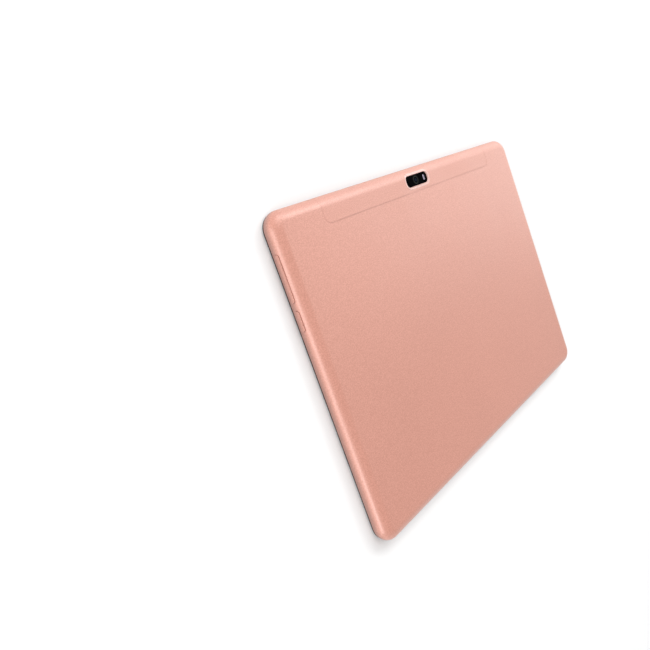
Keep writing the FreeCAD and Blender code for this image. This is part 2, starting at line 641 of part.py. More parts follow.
def screw(x, y, z_head_low, z_tip):
    """Small pan-head screw with a cross recess."""
    head = upright_pin(x, y, SCREW_HEAD_RADIUS, z_head_low, z_head_low + SCREW_HEAD_HEIGHT)
    shank = upright_pin(x, y, SCREW_SHANK_RADIUS - 0.05, z_tip, z_head_low)
    top = z_head_low + SCREW_HEAD_HEIGHT
    slots = [
        centred_block(x, y, 1.7, 0.35, top - 0.35, top + 1),
        centred_block(x, y, 0.35, 1.7, top - 0.35, top + 1),
    ]
    return cut_all(fuse_all([head, shank]), slots)


def chassis_screws():
    """Screws that hold the chassis plate to the bezel frame."""
    screws = []
    for x in CHASSIS_SCREW_X:
        for side in (-1, 1):
            screws.append(screw(x, side * CHASSIS_SCREW_Y, FLOOR_Z, SHELL_BASE_Z + 0.2))
    return Part.Compound(screws)


def cover_screws():
    """Screws through the shelf under the card cover into the bezel frame's bosses."""
    return Part.Compound([screw(x, BOSS_Y, COUNTERBORE_Z, SHELL_BASE_Z + 0.6) for x in BOSS_X])


def board_screws():
    """Screws that hold the main board on its standoffs."""
    return Part.Compound([screw(x, y, PARTS_Z, FLOOR_Z + 0.1) for x, y in BOARD_SCREWS])


def board_standoffs():
    """Pressed-in spacers between the chassis and the main board."""
    rings = []
    for x, y in BOARD_SCREWS:
        ring = upright_pin(x, y, 1.8, FLOOR_Z, BOARD_Z)
        rings.append(ring.cut(upright_pin(x, y, SCREW_SHANK_RADIUS, 0, 9)))
    return Part.Compound(rings)


def main_board():
    """Main circuit board: long strip, a wing under the card bay and a wing to the side sockets."""
    strip = block(BOARD_X[0], BOARD_X[1], BOARD_Y[0], BOARD_Y[1], BOARD_Z, PARTS_Z)
    card_wing = block(BOARD_WING_X[0], BOARD_WING_X[1], BOARD_Y[1] - 1, BOARD_WING_Y, BOARD_Z, PARTS_Z)
    side_wing = block(BOARD_SIDE_X[0], BOARD_SIDE_X[1], BOARD_SIDE_Y[0], BOARD_SIDE_Y[1], BOARD_Z, PARTS_Z)
    cuts = [upright_pin(x, y, SCREW_SHANK_RADIUS + 0.1, 0, 9) for x, y in BOARD_SCREWS]
    cuts += [upright_pin(x, BOSS_Y, BOSS_RADIUS + 0.4, 0, 9) for x in BOSS_X]
    cuts.append(jack_clearance(JACK_REAR_X - 0.3))
    usb_notch = BOARD_SIDE_X[1] - USB_MOUTH_X + USB_DEPTH + 0.1
    cuts.append(centred_block(BOARD_SIDE_X[1], USB_Y, 2 * usb_notch, USB_WIDTH + 0.2, 0, 9))
    return cut_all(fuse_all([strip, card_wing, side_wing]), cuts)


def chip(x, y, length, depth, height):
    """Flat chip package on the main board, with its corner mark."""
    body = centred_block(x, y, length, depth, PARTS_Z + 0.1, PARTS_Z + height)
    pads = centred_block(x, y, length - 1, depth - 1, PARTS_Z, PARTS_Z + 0.1)
    mark = upright_pin(x - length / 2 + 1.2, y + depth / 2 - 1.2, 0.4, PARTS_Z + height - 0.1, 9)
    return cut_all(fuse_all([body, pads]), [mark])


def shield_can(x, y, length, depth):
    """Open-bottomed metal can over a group of chips, with vent holes."""
    top_z = PARTS_Z + SHIELD_HEIGHT
    outer = rounded_block(x, y, length, depth, 0.6, PARTS_Z, top_z)
    inner = centred_block(
        x, y, length - 2 * SHIELD_SHEET, depth - 2 * SHIELD_SHEET, PARTS_Z - 1, top_z - SHIELD_SHEET
    )
    vents = []
    for column in range(4):
        for row in range(2):
            vent_x = x + (column - 1.5) * length / 5
            vent_y = y + (row - 0.5) * depth / 2.5
            vents.append(upright_pin(vent_x, vent_y, 0.7, top_z - 1, top_z + 1))
    return cut_all(outer, [inner] + vents)


def card_slot(x, width):
    """Sheet-metal card slot open towards +Y, with the card channel and a spring window."""
    y_low = SLOT_MOUTH_Y - SLOT_DEPTH
    top_z = PARTS_Z + SLOT_HEIGHT
    body = block(x - width / 2, x + width / 2, y_low, SLOT_MOUTH_Y, PARTS_Z, top_z)
    channel = block(x - width / 2 + 0.6, x + width / 2 - 0.6, y_low + 0.8, 90, PARTS_Z + 0.3, top_z - 0.25)
    window = rounded_block(x, y_low + 6, width * 0.5, 5, 1, top_z - 0.4, top_z + 1)
    notch = block(x - width / 5, x + width / 5, SLOT_MOUTH_Y - 2, 90, top_z - 0.4, top_z + 1)
    return cut_all(body, [channel, window, notch])


def lower_long_edges(solid):
    """Edges of a USB block that run along X on its lower side."""
    boxes = [(edge, edge.BoundBox) for edge in solid.Edges]
    return [edge for edge, box in boxes if box.XLength > USB_DEPTH - 0.7 and box.ZMax < USB_Z]


def usb_port():
    """Small USB socket: folded shell and contact tongue, with two feet on the board."""
    y_low = USB_Y - USB_WIDTH / 2
    y_high = USB_Y + USB_WIDTH / 2
    z_low = USB_Z - USB_HEIGHT / 2
    z_high = USB_Z + USB_HEIGHT / 2
    x_low = USB_MOUTH_X - USB_DEPTH
    shell = block(x_low, USB_MOUTH_X, y_low, y_high, z_low, z_high)
    shell = shell.makeChamfer(0.8, lower_long_edges(shell))
    inner = block(
        x_low + 0.6, USB_MOUTH_X + 1, y_low + USB_SHELL, y_high - USB_SHELL,
        z_low + USB_SHELL, z_high - USB_SHELL
    )
    inner = inner.makeChamfer(0.7, lower_long_edges(inner))
    tongue = block(x_low + 0.3, USB_MOUTH_X - 0.9, USB_Y - 1.9, USB_Y + 1.9, USB_Z + 0.15, USB_Z + 0.7)
    foot_y = (y_low - 0.5, y_high)
    feet = [block(x_low + 1.2, x_low + 2.6, y, y + 0.5, PARTS_Z, USB_Z) for y in foot_y]
    return fuse_all([shell.cut(inner), tongue] + feet)


def headphone_jack():
    """Round 3.5 mm socket: housing, nose in the wall's hole and a blind bore."""
    half_width = JACK_WIDTH / 2
    housing = block(
        JACK_REAR_X, JACK_SHOULDER_X, JACK_Y - half_width, JACK_Y + half_width,
        JACK_Z - JACK_NOSE_RADIUS, JACK_Z + JACK_NOSE_RADIUS
    )
    nose = pin_along_x(JACK_SHOULDER_X - 1, JACK_MOUTH_X, JACK_Y, JACK_Z, JACK_NOSE_RADIUS)
    bore = pin_along_x(JACK_REAR_X + JACK_BACK_WALL, JACK_MOUTH_X + 1, JACK_Y, JACK_Z, JACK_BORE_RADIUS)
    return cut_all(fuse_all([housing, nose]), [bore])


def microphone():
    """Small metal-can microphone at the +X edge of the board."""
    body = block(HALF_X - 7.2, HALF_X - 3.2, MIC_Y - 1.5, MIC_Y + 1.5, MIC_Z - 0.9, MIC_Z + 0.9)
    port = pin_along_x(HALF_X - 3.7, HALF_X, MIC_Y, MIC_Z, 0.4)
    tail = block(BOARD_X[1] - 3, HALF_X - 7.2, MIC_Y - 1, MIC_Y + 1, PARTS_Z, PARTS_Z + 0.25)
    return cut_all(fuse_all([body, tail]), [port])


def rear_camera_module():
    """Rear camera: square base and a round barrel with a stepped lens seat facing up."""
    base = centred_block(CAMERA_X, WINDOW_Y, 8.5, 8.5, FLOOR_Z + 0.05, 5.0)
    barrel = upright_pin(CAMERA_X, WINDOW_Y, 3.1, 5.0, 7.0)
    cone = Part.makeCone(0.9, 2.3, 1.2, FreeCAD.Vector(CAMERA_X, WINDOW_Y, 5.8), UP)
    tail = block(CAMERA_X - 2.5, CAMERA_X + 2.5, 66, WINDOW_Y - 4, FLOOR_Z + 0.05, FLOOR_Z + 0.2)
    return cut_all(fuse_all([base, barrel, tail]), [cone])


def camera_gasket():
    """Soft light seal round the camera barrel, just under the window."""
    ring = upright_pin(CAMERA_X, WINDOW_Y, 3.1, 7.0, 7.25)
    return ring.cut(upright_pin(CAMERA_X, WINDOW_Y, 2.4, 6, 9))


def front_camera_module():
    """Front camera facing down through the bezel at the cover glass."""
    base_z = SKIRT_TOP_Z + 0.1
    base = centred_block(FRONT_CAMERA_X, FRONT_CAMERA_Y, 5.4, 5.0, base_z, base_z + 1.6)
    barrel = upright_pin(FRONT_CAMERA_X, FRONT_CAMERA_Y, 2.0, GLASS_THICKNESS + 0.15, base_z)
    cone_foot = FreeCAD.Vector(FRONT_CAMERA_X, FRONT_CAMERA_Y, GLASS_THICKNESS + 0.1)
    cone = Part.makeCone(1.5, 0.6, 0.7, cone_foot, UP)
    return cut_all(fuse_all([base, barrel]), [cone])


def flash_led():
    """Flash light on a small pillar of the main board, under the flash lens."""
    pillar = centred_block(FLASH_X, WINDOW_Y, 4.0, 4.4, PARTS_Z, 6.4)
    emitter = centred_block(FLASH_X, WINDOW_Y, 1.6, 1.6, 6.4, 6.9)
    return fuse_all([pillar, emitter])


def battery_cell(side):
    """Pouch cell with a thinner sealed ledge at its +Y end."""
    z_low = FLOOR_Z + BATTERY_TAPE
    x = side * BATTERY_SPACING / 2
    pouch = centred_block(x, BATTERY_Y, BATTERY_LENGTH, BATTERY_DEPTH, z_low, z_low + BATTERY_HEIGHT)
    rims = [edge for edge in pouch.Edges if edge.BoundBox.DiagonalLength > 20]
    pouch = pouch.makeFillet(0.9, rims)
    y_end = BATTERY_Y + BATTERY_DEPTH / 2
    ledge_z = z_low + BATTERY_HEIGHT * 0.45
    ledge = block(x - 34, x + 34, y_end - 1, y_end + 2.4, ledge_z, ledge_z + 0.5)
    return fuse_all([pouch, ledge])


def battery_cell_left():
    """Battery cell on the -X side."""
    return battery_cell(-1)


def battery_cell_right():
    """Battery cell on the +X side."""
    return battery_cell(1)


def battery_tape():
    """Strips of double-sided tape under the cells."""
    strips = []
    for side in (-1, 1):
        for step in (-22, 22):
            x = side * BATTERY_SPACING / 2 + step
            strip = centred_block(x, BATTERY_Y, 12, BATTERY_DEPTH - 14, FLOOR_Z, FLOOR_Z + BATTERY_TAPE)
            strips.append(strip)
    return Part.Compound(strips)


def battery_board():
    """Protection circuit strip along the cells' +Y end."""
    y_low = BATTERY_Y + BATTERY_DEPTH / 2 + 2.8
    board = block(-64, 64, y_low, y_low + 4.2, FLOOR_Z + 0.9, FLOOR_Z + 1.6)
    parts_z = (FLOOR_Z + 1.6, FLOOR_Z + 2.5)
    parts = [block(x, x + 4, y_low + 0.8, y_low + 3.4, *parts_z) for x in (-40, -20, 16, 38)]
    return fuse_all([board] + parts)


def battery_lead():
    """Row of round wires from the protection strip to the plug on the main board."""
    y_low = BATTERY_Y + BATTERY_DEPTH / 2 + 7.1
    y_high = BOARD_Y[0] + 4
    wires = [pin_along_y(x, y_low, y_high, PARTS_Z + 0.75, 0.45) for x in (6.0, 7.2, 8.4, 9.6)]
    plug = block(5.0, 10.6, y_high - 1, y_high + 3, PARTS_Z, PARTS_Z + 1.5)
    return fuse_all([plug] + wires)


def speaker(side):
    """Closed speaker box against the -Y wall with a round membrane recess in its front."""
    x = side * SPEAKER_X
    y_front = SPEAKER_BACK_Y - SPEAKER_DEPTH
    z_low = SHELL_BASE_Z + 0.1
    half = SPEAKER_LENGTH / 2
    box = block(x - half, x + half, y_front, SPEAKER_BACK_Y, z_low, z_low + SPEAKER_HEIGHT)
    rims = [edge for edge in box.Edges if edge.BoundBox.ZLength > SPEAKER_HEIGHT - 0.1]
    box = box.makeFillet(0.8, rims)
    z_mid = z_low + SPEAKER_HEIGHT / 2
    recess = block(x - 11, x + 11, y_front - 1, y_front + 0.8, z_mid - 1.4, z_mid + 1.4)
    return cut_all(box, [recess])


def speaker_left():
    """Speaker on the -X side."""
    return speaker(-1)


def speaker_right():
    """Speaker on the +X side."""
    return speaker(1)


def speaker_meshes():
    """Dust mesh strips between the wall's holes and the speakers."""
    strips = []
    for side in (-1, 1):
        x = side * SPEAKER_X
        y_low = SPEAKER_BACK_Y - SPEAKER_DEPTH - 0.25
        strips.append(block(x - 13, x + 13, y_low, y_low + 0.2, WALL_PEAK_Z - 1, WALL_PEAK_Z + 1))
    return Part.Compound(strips)


def cell_antenna():
    """Mobile network antenna: stepped foil under the shelf."""
    z_low = SHELF_LOW_Z - 0.2
    first = block(-72, -46, 74.5, ANTENNA_END_Y, z_low, z_low + 0.15)
    second = block(-72, -62, 70.5, 74.5, z_low, z_low + 0.15)
    gap = block(-66, -48, 76, 76.8, 0, 9)
    return cut_all(fuse_all([first, second]), [gap])


def wifi_antenna():
    """Wireless network antenna: short meandered foil under the shelf."""
    z_low = SHELF_LOW_Z - 0.2
    foil = block(-33, -16, 73.5, ANTENNA_END_Y, z_low, z_low + 0.15)
    slots = [block(x, x + 1, 73, ANTENNA_END_Y - 1.2, 0, 9) for x in (-30, -26, -22)]
    return cut_all(foil, slots)


NODES = {
    "rear_cover": rear_cover,
    "card_cover": card_cover,
    "camera_trim_ring": camera_trim_ring,
    "camera_window": camera_window,
    "flash_lens": flash_lens,
    "volume_rocker": volume_rocker,
    "power_button": power_button,
    "volume_up_switch": lambda: key_switch(ROCKER_Y + ROCKER_PLUNGER_OFFSET),
    "volume_down_switch": lambda: key_switch(ROCKER_Y - ROCKER_PLUNGER_OFFSET),
    "power_switch": lambda: key_switch(POWER_Y),
    "side_key_board": side_key_board,
    "key_bracket": key_bracket,
    "key_flex": key_flex,
    "front_frame": front_frame,
    "front_glass": front_glass,
    "glass_tape": glass_tape,
    "touch_sensor": touch_sensor,
    "touch_flex": touch_flex,
    "lcd_panel": lcd_panel,
    "backlight_unit": backlight_unit,
    "display_flex": display_flex,
    "chassis_plate": chassis_plate,
    "chassis_screws": chassis_screws,
    "cover_screws": cover_screws,
    "board_screws": board_screws,
    "board_standoffs": board_standoffs,
    "main_board": main_board,
    "processor_chip": lambda: chip(-40, 58, 15, 15, 1.1),
    "memory_chip": lambda: chip(-24, 58, 11, 13, 1.0),
    "storage_chip": lambda: chip(-4, 60, 11.5, 13, 1.0),
    "power_chip": lambda: chip(12, 60, 8, 8, 0.9),
    "radio_chip": lambda: chip(88, 58, 10, 10, 0.9),
    "processor_shield": lambda: shield_can(-33, 58, 34, 18.5),
    "radio_shield": lambda: shield_can(88, 58.5, 18, 16),
    "sim_slot_one": lambda: card_slot(SIM_X[0], SIM_WIDTH),
    "sim_slot_two": lambda: card_slot(SIM_X[1], SIM_WIDTH),
    "microsd_slot": lambda: card_slot(MICROSD_X, MICROSD_WIDTH),
    "usb_port": usb_port,
    "headphone_jack": headphone_jack,
    "microphone": microphone,
    "rear_camera_module": rear_camera_module,
    "camera_gasket": camera_gasket,
    "front_camera_module": front_camera_module,
    "flash_led": flash_led,
    "battery_cell_left": battery_cell_left,
    "battery_cell_right": battery_cell_right,
    "battery_tape": battery_tape,
    "battery_board": battery_board,
    "battery_lead": battery_lead,
    "speaker_left": speaker_left,
    "speaker_right": speaker_right,
    "speaker_meshes": speaker_meshes,
    "cell_antenna": cell_antenna,
    "wifi_antenna": wifi_antenna,
}

os.makedirs("parts", exist_ok=True)
for node_name, build_node in NODES.items():
    shape = build_node()
    solids = shape.Solids
    if len(solids) == 1:
        shape = solids[0]
    if not shape.isValid():
        raise ValueError(node_name + " is not a valid shape")
    shape.exportStep("parts/" + node_name + ".step")
    print(node_name, len(solids), round(shape.Volume, 2))
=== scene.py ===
"""Looks of a slim tablet computer that lies on its display with its metal back up."""

import json
import logging
import math
from dataclasses import dataclass
from enum import Enum
from typing import Optional, Sequence

import bmesh
import bpy
import numpy as np
from mathutils import Matrix, Vector


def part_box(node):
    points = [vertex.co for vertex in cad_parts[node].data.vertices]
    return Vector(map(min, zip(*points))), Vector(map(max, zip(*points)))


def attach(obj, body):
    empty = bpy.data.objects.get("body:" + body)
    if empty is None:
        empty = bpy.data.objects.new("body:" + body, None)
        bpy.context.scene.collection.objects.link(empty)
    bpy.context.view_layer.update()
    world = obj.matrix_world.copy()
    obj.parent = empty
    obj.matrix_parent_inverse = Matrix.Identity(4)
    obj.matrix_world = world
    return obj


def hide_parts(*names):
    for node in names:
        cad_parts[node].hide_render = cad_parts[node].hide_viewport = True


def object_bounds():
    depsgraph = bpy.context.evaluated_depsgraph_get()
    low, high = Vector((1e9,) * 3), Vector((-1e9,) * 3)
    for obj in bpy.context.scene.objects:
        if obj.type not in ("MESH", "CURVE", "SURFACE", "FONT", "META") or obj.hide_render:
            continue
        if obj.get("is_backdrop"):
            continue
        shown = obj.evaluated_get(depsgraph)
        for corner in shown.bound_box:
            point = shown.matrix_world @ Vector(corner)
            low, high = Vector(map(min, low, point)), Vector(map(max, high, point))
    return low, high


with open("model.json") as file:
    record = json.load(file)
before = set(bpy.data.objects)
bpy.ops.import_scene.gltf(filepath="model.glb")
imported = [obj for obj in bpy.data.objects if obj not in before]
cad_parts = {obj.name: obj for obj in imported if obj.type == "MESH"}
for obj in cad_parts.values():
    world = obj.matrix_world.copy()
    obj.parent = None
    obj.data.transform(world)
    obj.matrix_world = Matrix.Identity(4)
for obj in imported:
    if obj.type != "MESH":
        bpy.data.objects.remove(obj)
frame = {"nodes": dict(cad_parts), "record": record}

LOG = logging.getLogger("tablet")
MM = 0.001
# Vertices closer than this are one, in metres.
MERGE_DISTANCE = 2e-7
# Faces that meet at less than this are one, in radians.
FLAT_ANGLE = math.radians(0.6)
# Least divisor.
TINY = 1e-12
Pair = tuple[float, float]
Triple = tuple[float, float, float]
Rgb = tuple[int, int, int]
Colour = tuple[float, float, float, float]
Area = tuple[float, float, float, float]
Socket = bpy.types.NodeSocket
Node = bpy.types.Node
Mesh = bpy.types.Mesh
Piece = bpy.types.Object
Material = bpy.types.Material
WHITE: Colour = (1.0, 1.0, 1.0, 1.0)


def srgb(red: int, green: int, blue: int) -> Colour:
    """Turn a display colour, from 0 to 255, into the linear colour that a shader takes."""

    def linear(value: int) -> float:
        share = value / 255
        return share / 12.92 if share <= 0.04045 else ((share + 0.055) / 1.055) ** 2.4

    return (linear(red), linear(green), linear(blue), 1.0)


class Body(Enum):
    """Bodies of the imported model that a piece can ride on."""

    TABLET = "tablet_body"
    VOLUME_KEY = "volume_key"
    POWER_KEY = "power_key"
    COVER_STRIP = "cover_strip"


# Node trees


class NodeSheet:
    """A node tree with the short calls that materials, the world and grown meshes share."""

    NOISE_MIDDLE: Pair = (0.3, 0.7)

    def __init__(self, tree: bpy.types.NodeTree) -> None:
        """Start with this node tree."""
        self.tree = tree

    def node(self, kind: str, **settings: object) -> Node:
        """Add a node.

        Args:
            kind: Node type.
            settings: Attributes to set on it.

        Returns:
            The node.
        """
        made = self.tree.nodes.new(kind)
        for name, value in settings.items():
            setattr(made, name, value)
        return made

    def link(self, source: Socket, target: Socket) -> None:
        """Join two sockets."""
        self.tree.links.new(source, target)

    def fill(self, socket: Socket, value: object) -> None:
        """Give an input a constant, or join it to a socket."""
        if isinstance(value, Socket):
            self.link(value, socket)
        else:
            socket.default_value = value

    def feed(self, node: Node, **values: object) -> Node:
        """Fill a node's inputs.

        Args:
            node: Node to fill.
            values: Input names, with underscores for spaces, and their constants or sockets.

        Returns:
            The same node.
        """
        for name, value in values.items():
            self.fill(node.inputs[name.replace("_", " ")], value)
        return node

    def math(self, operation: str, *values: object) -> Socket:
        """Work out one value from numbers or sockets."""
        made = self.node("ShaderNodeMath", operation=operation)
        for socket, value in zip(made.inputs, values):
            self.fill(socket, value)
        return made.outputs["Value"]

    def spread(self, value: Socket, low: float, high: float, start: Pair = NOISE_MIDDLE) -> Socket:
        """Map one range onto another.

        Args:
            value: Socket with the value.
            low: Result for the low side.
            high: Result for the high side.
            start: Range of the value; the middle of a noise unless it is given.

        Returns:
            The mapped value socket.
        """
        mapped = self.node("ShaderNodeMapRange")
        self.feed(mapped, Value=value, From_Min=start[0], From_Max=start[1], To_Min=low, To_Max=high)
        return mapped.outputs["Result"]

    def axes(self, place: Socket) -> Sequence[Socket]:
        """Sockets with a place's X, Y and Z."""
        return self.feed(self.node("ShaderNodeSeparateXYZ"), Vector=place).outputs


class ShaderSheet(NodeSheet):
    """A material's node tree round one Principled shader."""

    def __init__(self, name: str) -> None:
        """Start a material with this name."""
        self.material = bpy.data.materials.new(name)
        self.material.use_nodes = True
        super().__init__(self.material.node_tree)
        self.tree.nodes.clear()
        self.shader = self.node("ShaderNodeBsdfPrincipled")
        self.feed(self.node("ShaderNodeOutputMaterial"), Surface=self.shader.outputs["BSDF"])
        self.place = self.node("ShaderNodeTexCoord").outputs["Object"]

    def set(self, **values: object) -> None:
        """Fill the shader's inputs; underscores in the names stand for spaces."""
        self.feed(self.shader, **values)

    def noise(self, scale: float, detail: float = 2.0, stretch: Triple = (1, 1, 1)) -> Socket:
        """Noise over the piece.

        Args:
            scale: Waves per metre.
            detail: Octaves.
            stretch: Factors along X, Y and Z before the noise.

        Returns:
            The noise value socket.
        """
        mapping = self.feed(self.node("ShaderNodeMapping"), Vector=self.place, Scale=stretch)
        texture = self.node("ShaderNodeTexNoise")
        self.feed(texture, Vector=mapping.outputs["Vector"], Scale=scale, Detail=detail)
        return texture.outputs["Fac"]

    def ramp(self, value: Socket, stops: Sequence[tuple[float, Colour]]) -> Socket:
        """Turn a value into a colour.

        Args:
            value: Socket with the value.
            stops: Positions and their colours.

        Returns:
            The colour socket.
        """
        ramp = self.feed(self.node("ShaderNodeValToRGB"), Fac=value)
        elements = ramp.color_ramp.elements
        while len(elements) < len(stops):
            elements.new(0.5)
        for element, (position, colour) in zip(elements, stops):
            element.position = position
            element.color = colour
        return ramp.outputs["Color"]

    def bump(
        self, height: Socket, distance: float, strength: float, under: Optional[Socket] = None
    ) -> Socket:
        """Bump the surface by a height.

        Args:
            height: Socket with the height.
            distance: Real height of one unit, in metres.
            strength: Share of the effect.
            under: Normal that this bump is laid on.

        Returns:
            The normal socket.
        """
        bump = self.feed(self.node("ShaderNodeBump"), Height=height, Distance=distance, Strength=strength)
        if under is not None:
            self.feed(bump, Normal=under)
        return bump.outputs["Normal"]

    def tinted(self, colour: Socket, tint: Socket) -> Socket:
        """Multiply a colour by a tint and return the colour socket."""
        mix = self.node("ShaderNodeMix", data_type="RGBA", blend_type="MULTIPLY")
        return self.feed(mix, Factor=1.0, A=colour, B=tint).outputs["Result"]


# Finishes


@dataclass(frozen=True)
class Finish:
    """A surface finish with mottled colour, uneven gloss and a fine grain.

    Attributes:
        name: Material name.
        dark: Darker tone, as a display colour.
        light: Lighter tone, as a display colour.
        gloss: Lowest and highest roughness.
        metal: Share of metal.
        mottle: Waves per metre of the slow change in tone.
        grain: Waves per metre of the grain.
        grain_height: Height of the grain in metres.
        stretch: Factors that draw the grain out.
        coat: Share of clear coat.
        specular: Specular level.
        coat_gloss: Roughness of the clear coat.
        smear: Waves of the change in gloss to one wave of the change in tone.
    """

    name: str
    dark: Rgb
    light: Rgb
    gloss: Pair
    metal: float = 0.0
    mottle: float = 60.0
    grain: float = 2500.0
    grain_height: float = 0.01 * MM
    stretch: Triple = (1.0, 1.0, 1.0)
    coat: float = 0.0
    specular: float = 0.5
    coat_gloss: float = 0.05
    smear: float = 3.1

    def build(self) -> Material:
        """Make the material."""
        sheet = ShaderSheet(self.name)
        tones = [(0.32, srgb(*self.dark)), (0.68, srgb(*self.light))]
        gloss = sheet.noise(self.mottle * self.smear, 4.0)
        grain = sheet.noise(self.grain, 3.0, self.stretch)
        sheet.set(
            Base_Color=sheet.ramp(sheet.noise(self.mottle, 3.0), tones),
            Roughness=sheet.spread(gloss, *self.gloss),
            Normal=sheet.bump(grain, self.grain_height, 0.6),
            Metallic=self.metal,
            Coat_Weight=self.coat,
            Coat_Roughness=self.coat_gloss,
            Specular_IOR_Level=self.specular,
        )
        return sheet.material


@dataclass(frozen=True)
class AnodisedMetal:
    """Bead-blasted and anodised metal: satin, with a fine even grain and a very slow drift in tone.

    Attributes:
        name: Material name.
        deep: Tone of the grain's hollows, as a display colour.
        base: Main tone.
        pale: Tone of the grain's peaks.
        gloss: Lowest and highest roughness.
        metal: Share of bare metal that shows through the dyed layer.
        grain: Waves per metre of the grain.
        grain_height: Height of the grain in metres.
        oxide: Refractive index of the dyed oxide layer.
        soft_grain: Waves of the soft grain under the fine one, to one wave of the fine one.
        drift: Lowest tone of the slow drift.
        drift_waves: Waves per metre of the slow drift.
        smear_waves: Waves per metre of the change in gloss.
        painted_shade_tone: Share of the colour left at the wall's foot. This darkening is painted shade: it
            stands in for dark things nearby that the wall would mirror and that are not in the scene.
        rim: Heights where the painted shade starts to lift and where the colour is full, in metres.
    """

    name: str
    deep: Rgb
    base: Rgb
    pale: Rgb
    gloss: Pair = (0.36, 0.42)
    metal: float = 0.06
    grain: float = 1500.0
    grain_height: float = 0.01 * MM
    oxide: float = 1.77
    soft_grain: float = 0.22
    drift: Colour = (0.955, 0.955, 0.955, 1.0)
    drift_waves: float = 9.0
    smear_waves: float = 38.0
    painted_shade_tone: Colour = (0.60, 0.66, 0.70, 1.0)
    rim: Pair = (2.8 * MM, 5.2 * MM)

    def build(self) -> Material:
        """Make the material."""
        sheet = ShaderSheet(self.name)
        fine = sheet.noise(self.grain, 4.0)
        tones = [(0.34, srgb(*self.deep)), (0.5, srgb(*self.base)), (0.66, srgb(*self.pale))]
        slow = sheet.ramp(sheet.noise(self.drift_waves), [(0.3, self.drift), (0.7, WHITE)])
        toned = sheet.tinted(sheet.ramp(fine, tones), slow)
        # Painted shade: the colour darkens towards the wall's foot, below the rim heights.
        rise = sheet.spread(sheet.axes(sheet.place)["Z"], 0.0, 1.0, self.rim)
        foot = sheet.ramp(rise, [(0.0, self.painted_shade_tone), (1.0, WHITE)])
        under = sheet.noise(self.grain * self.soft_grain, 3.0)
        soft = sheet.bump(under, self.grain_height * 2, 0.35)
        sheet.set(
            Base_Color=sheet.tinted(toned, foot),
            Roughness=sheet.spread(sheet.noise(self.smear_waves, 5.0), *self.gloss),
            Normal=sheet.bump(fine, self.grain_height, 0.7, soft),
            Metallic=self.metal,
            IOR=self.oxide,
        )
        return sheet.material


@dataclass(frozen=True)
class TintedWindow:
    """Black polished window with the faint rings of the lens behind it.

    Attributes:
        name: Material name.
        lens_x: Lens centre along X, in metres.
        lens_y: Lens centre along Y, in metres.
        lens_radius: Radius of the outer lens ring, in metres.
        rings: Tones from the lens centre out to twice the ring's radius.
    """

    name: str
    lens_x: float
    lens_y: float
    lens_radius: float
    rings: tuple[tuple[float, Rgb], ...] = (
        (0.0, (8, 14, 26)),
        (0.12, (30, 36, 48)),
        (0.17, (6, 6, 8)),
        (0.30, (14, 16, 17)),
        (0.36, (58, 62, 58)),
        (0.40, (6, 6, 7)),
        (0.50, (20, 20, 21)),
        (0.53, (5, 5, 6)),
    )

    def build(self) -> Material:
        """Make the material."""
        sheet = ShaderSheet(self.name)
        size = 1 / self.lens_radius
        centre = (-self.lens_x * size, -self.lens_y * size, 0)
        mapping = sheet.node("ShaderNodeMapping")
        sheet.feed(mapping, Vector=sheet.place, Location=centre, Scale=(size, size, 0))
        reach = sheet.node("ShaderNodeVectorMath", operation="LENGTH")
        sheet.link(mapping.outputs["Vector"], reach.inputs[0])
        halved = sheet.math("MULTIPLY", reach.outputs["Value"], 0.5)
        sheet.set(
            Base_Color=sheet.ramp(halved, [(place, srgb(*tone)) for place, tone in self.rings]),
            Roughness=sheet.spread(sheet.noise(300.0, 4.0), 0.05, 0.12),
            Coat_Weight=0.012,
            Coat_Roughness=0.04,
            Specular_IOR_Level=0.0,
        )
        return sheet.material


@dataclass(frozen=True)
class CoverGlass:
    """Polished cover glass with a black printed border round the dark display.

    Attributes:
        name: Material name.
        half_x: Half length of the lit area, in metres.
        half_y: Half depth of the lit area, in metres.
        border: Tone of the printed border.
        display: Tone of the display when it is off.
    """

    name: str
    half_x: float
    half_y: float
    border: Rgb = (6, 6, 7)
    display: Rgb = (20, 21, 25)

    def build(self) -> Material:
        """Make the material."""
        sheet = ShaderSheet(self.name)
        axes = sheet.axes(sheet.place)
        inside = [
            sheet.math("LESS_THAN", sheet.math("ABSOLUTE", axes[axis]), half)
            for axis, half in (("X", self.half_x), ("Y", self.half_y))
        ]
        tones = [(0.0, srgb(*self.border)), (1.0, srgb(*self.display))]
        sheet.set(
            Base_Color=sheet.ramp(sheet.math("MULTIPLY", *inside), tones),
            Roughness=sheet.spread(sheet.noise(42.0, 6.0), 0.03, 0.10),
            Coat_Weight=1.0,
            Coat_Roughness=0.02,
        )
        return sheet.material


@dataclass(frozen=True)
class SolderMask:
    """Circuit board lacquer with traces and tinned pads showing through.

    Attributes:
        name: Material name.
        mask: Colour of the lacquer.
        trace: Colour of the lacquer over copper.
        pad: Colour of the pads.
        cells: Pads per metre.
    """

    name: str
    mask: Rgb
    trace: Rgb
    pad: Rgb = (196, 180, 120)
    cells: float = 420.0

    def build(self) -> Material:
        """Make the material."""
        sheet = ShaderSheet(self.name)
        cells = sheet.node("ShaderNodeTexVoronoi", distance="CHEBYCHEV", feature="F1")
        reach = sheet.feed(cells, Scale=self.cells, Vector=sheet.place).outputs["Distance"]
        pad, mask, trace = srgb(*self.pad), srgb(*self.mask), srgb(*self.trace)
        rings = [(0.0, pad), (0.10, pad), (0.12, mask), (0.42, mask)]
        rings += [(0.44, trace), (0.52, trace), (0.54, mask)]
        sheet.set(
            Base_Color=sheet.ramp(reach, rings),
            Roughness=sheet.spread(sheet.noise(500.0), 0.28, 0.42),
            Normal=sheet.bump(reach, 0.04 * MM, 0.4),
            Coat_Weight=0.3,
            Coat_Roughness=0.15,
        )
        return sheet.material


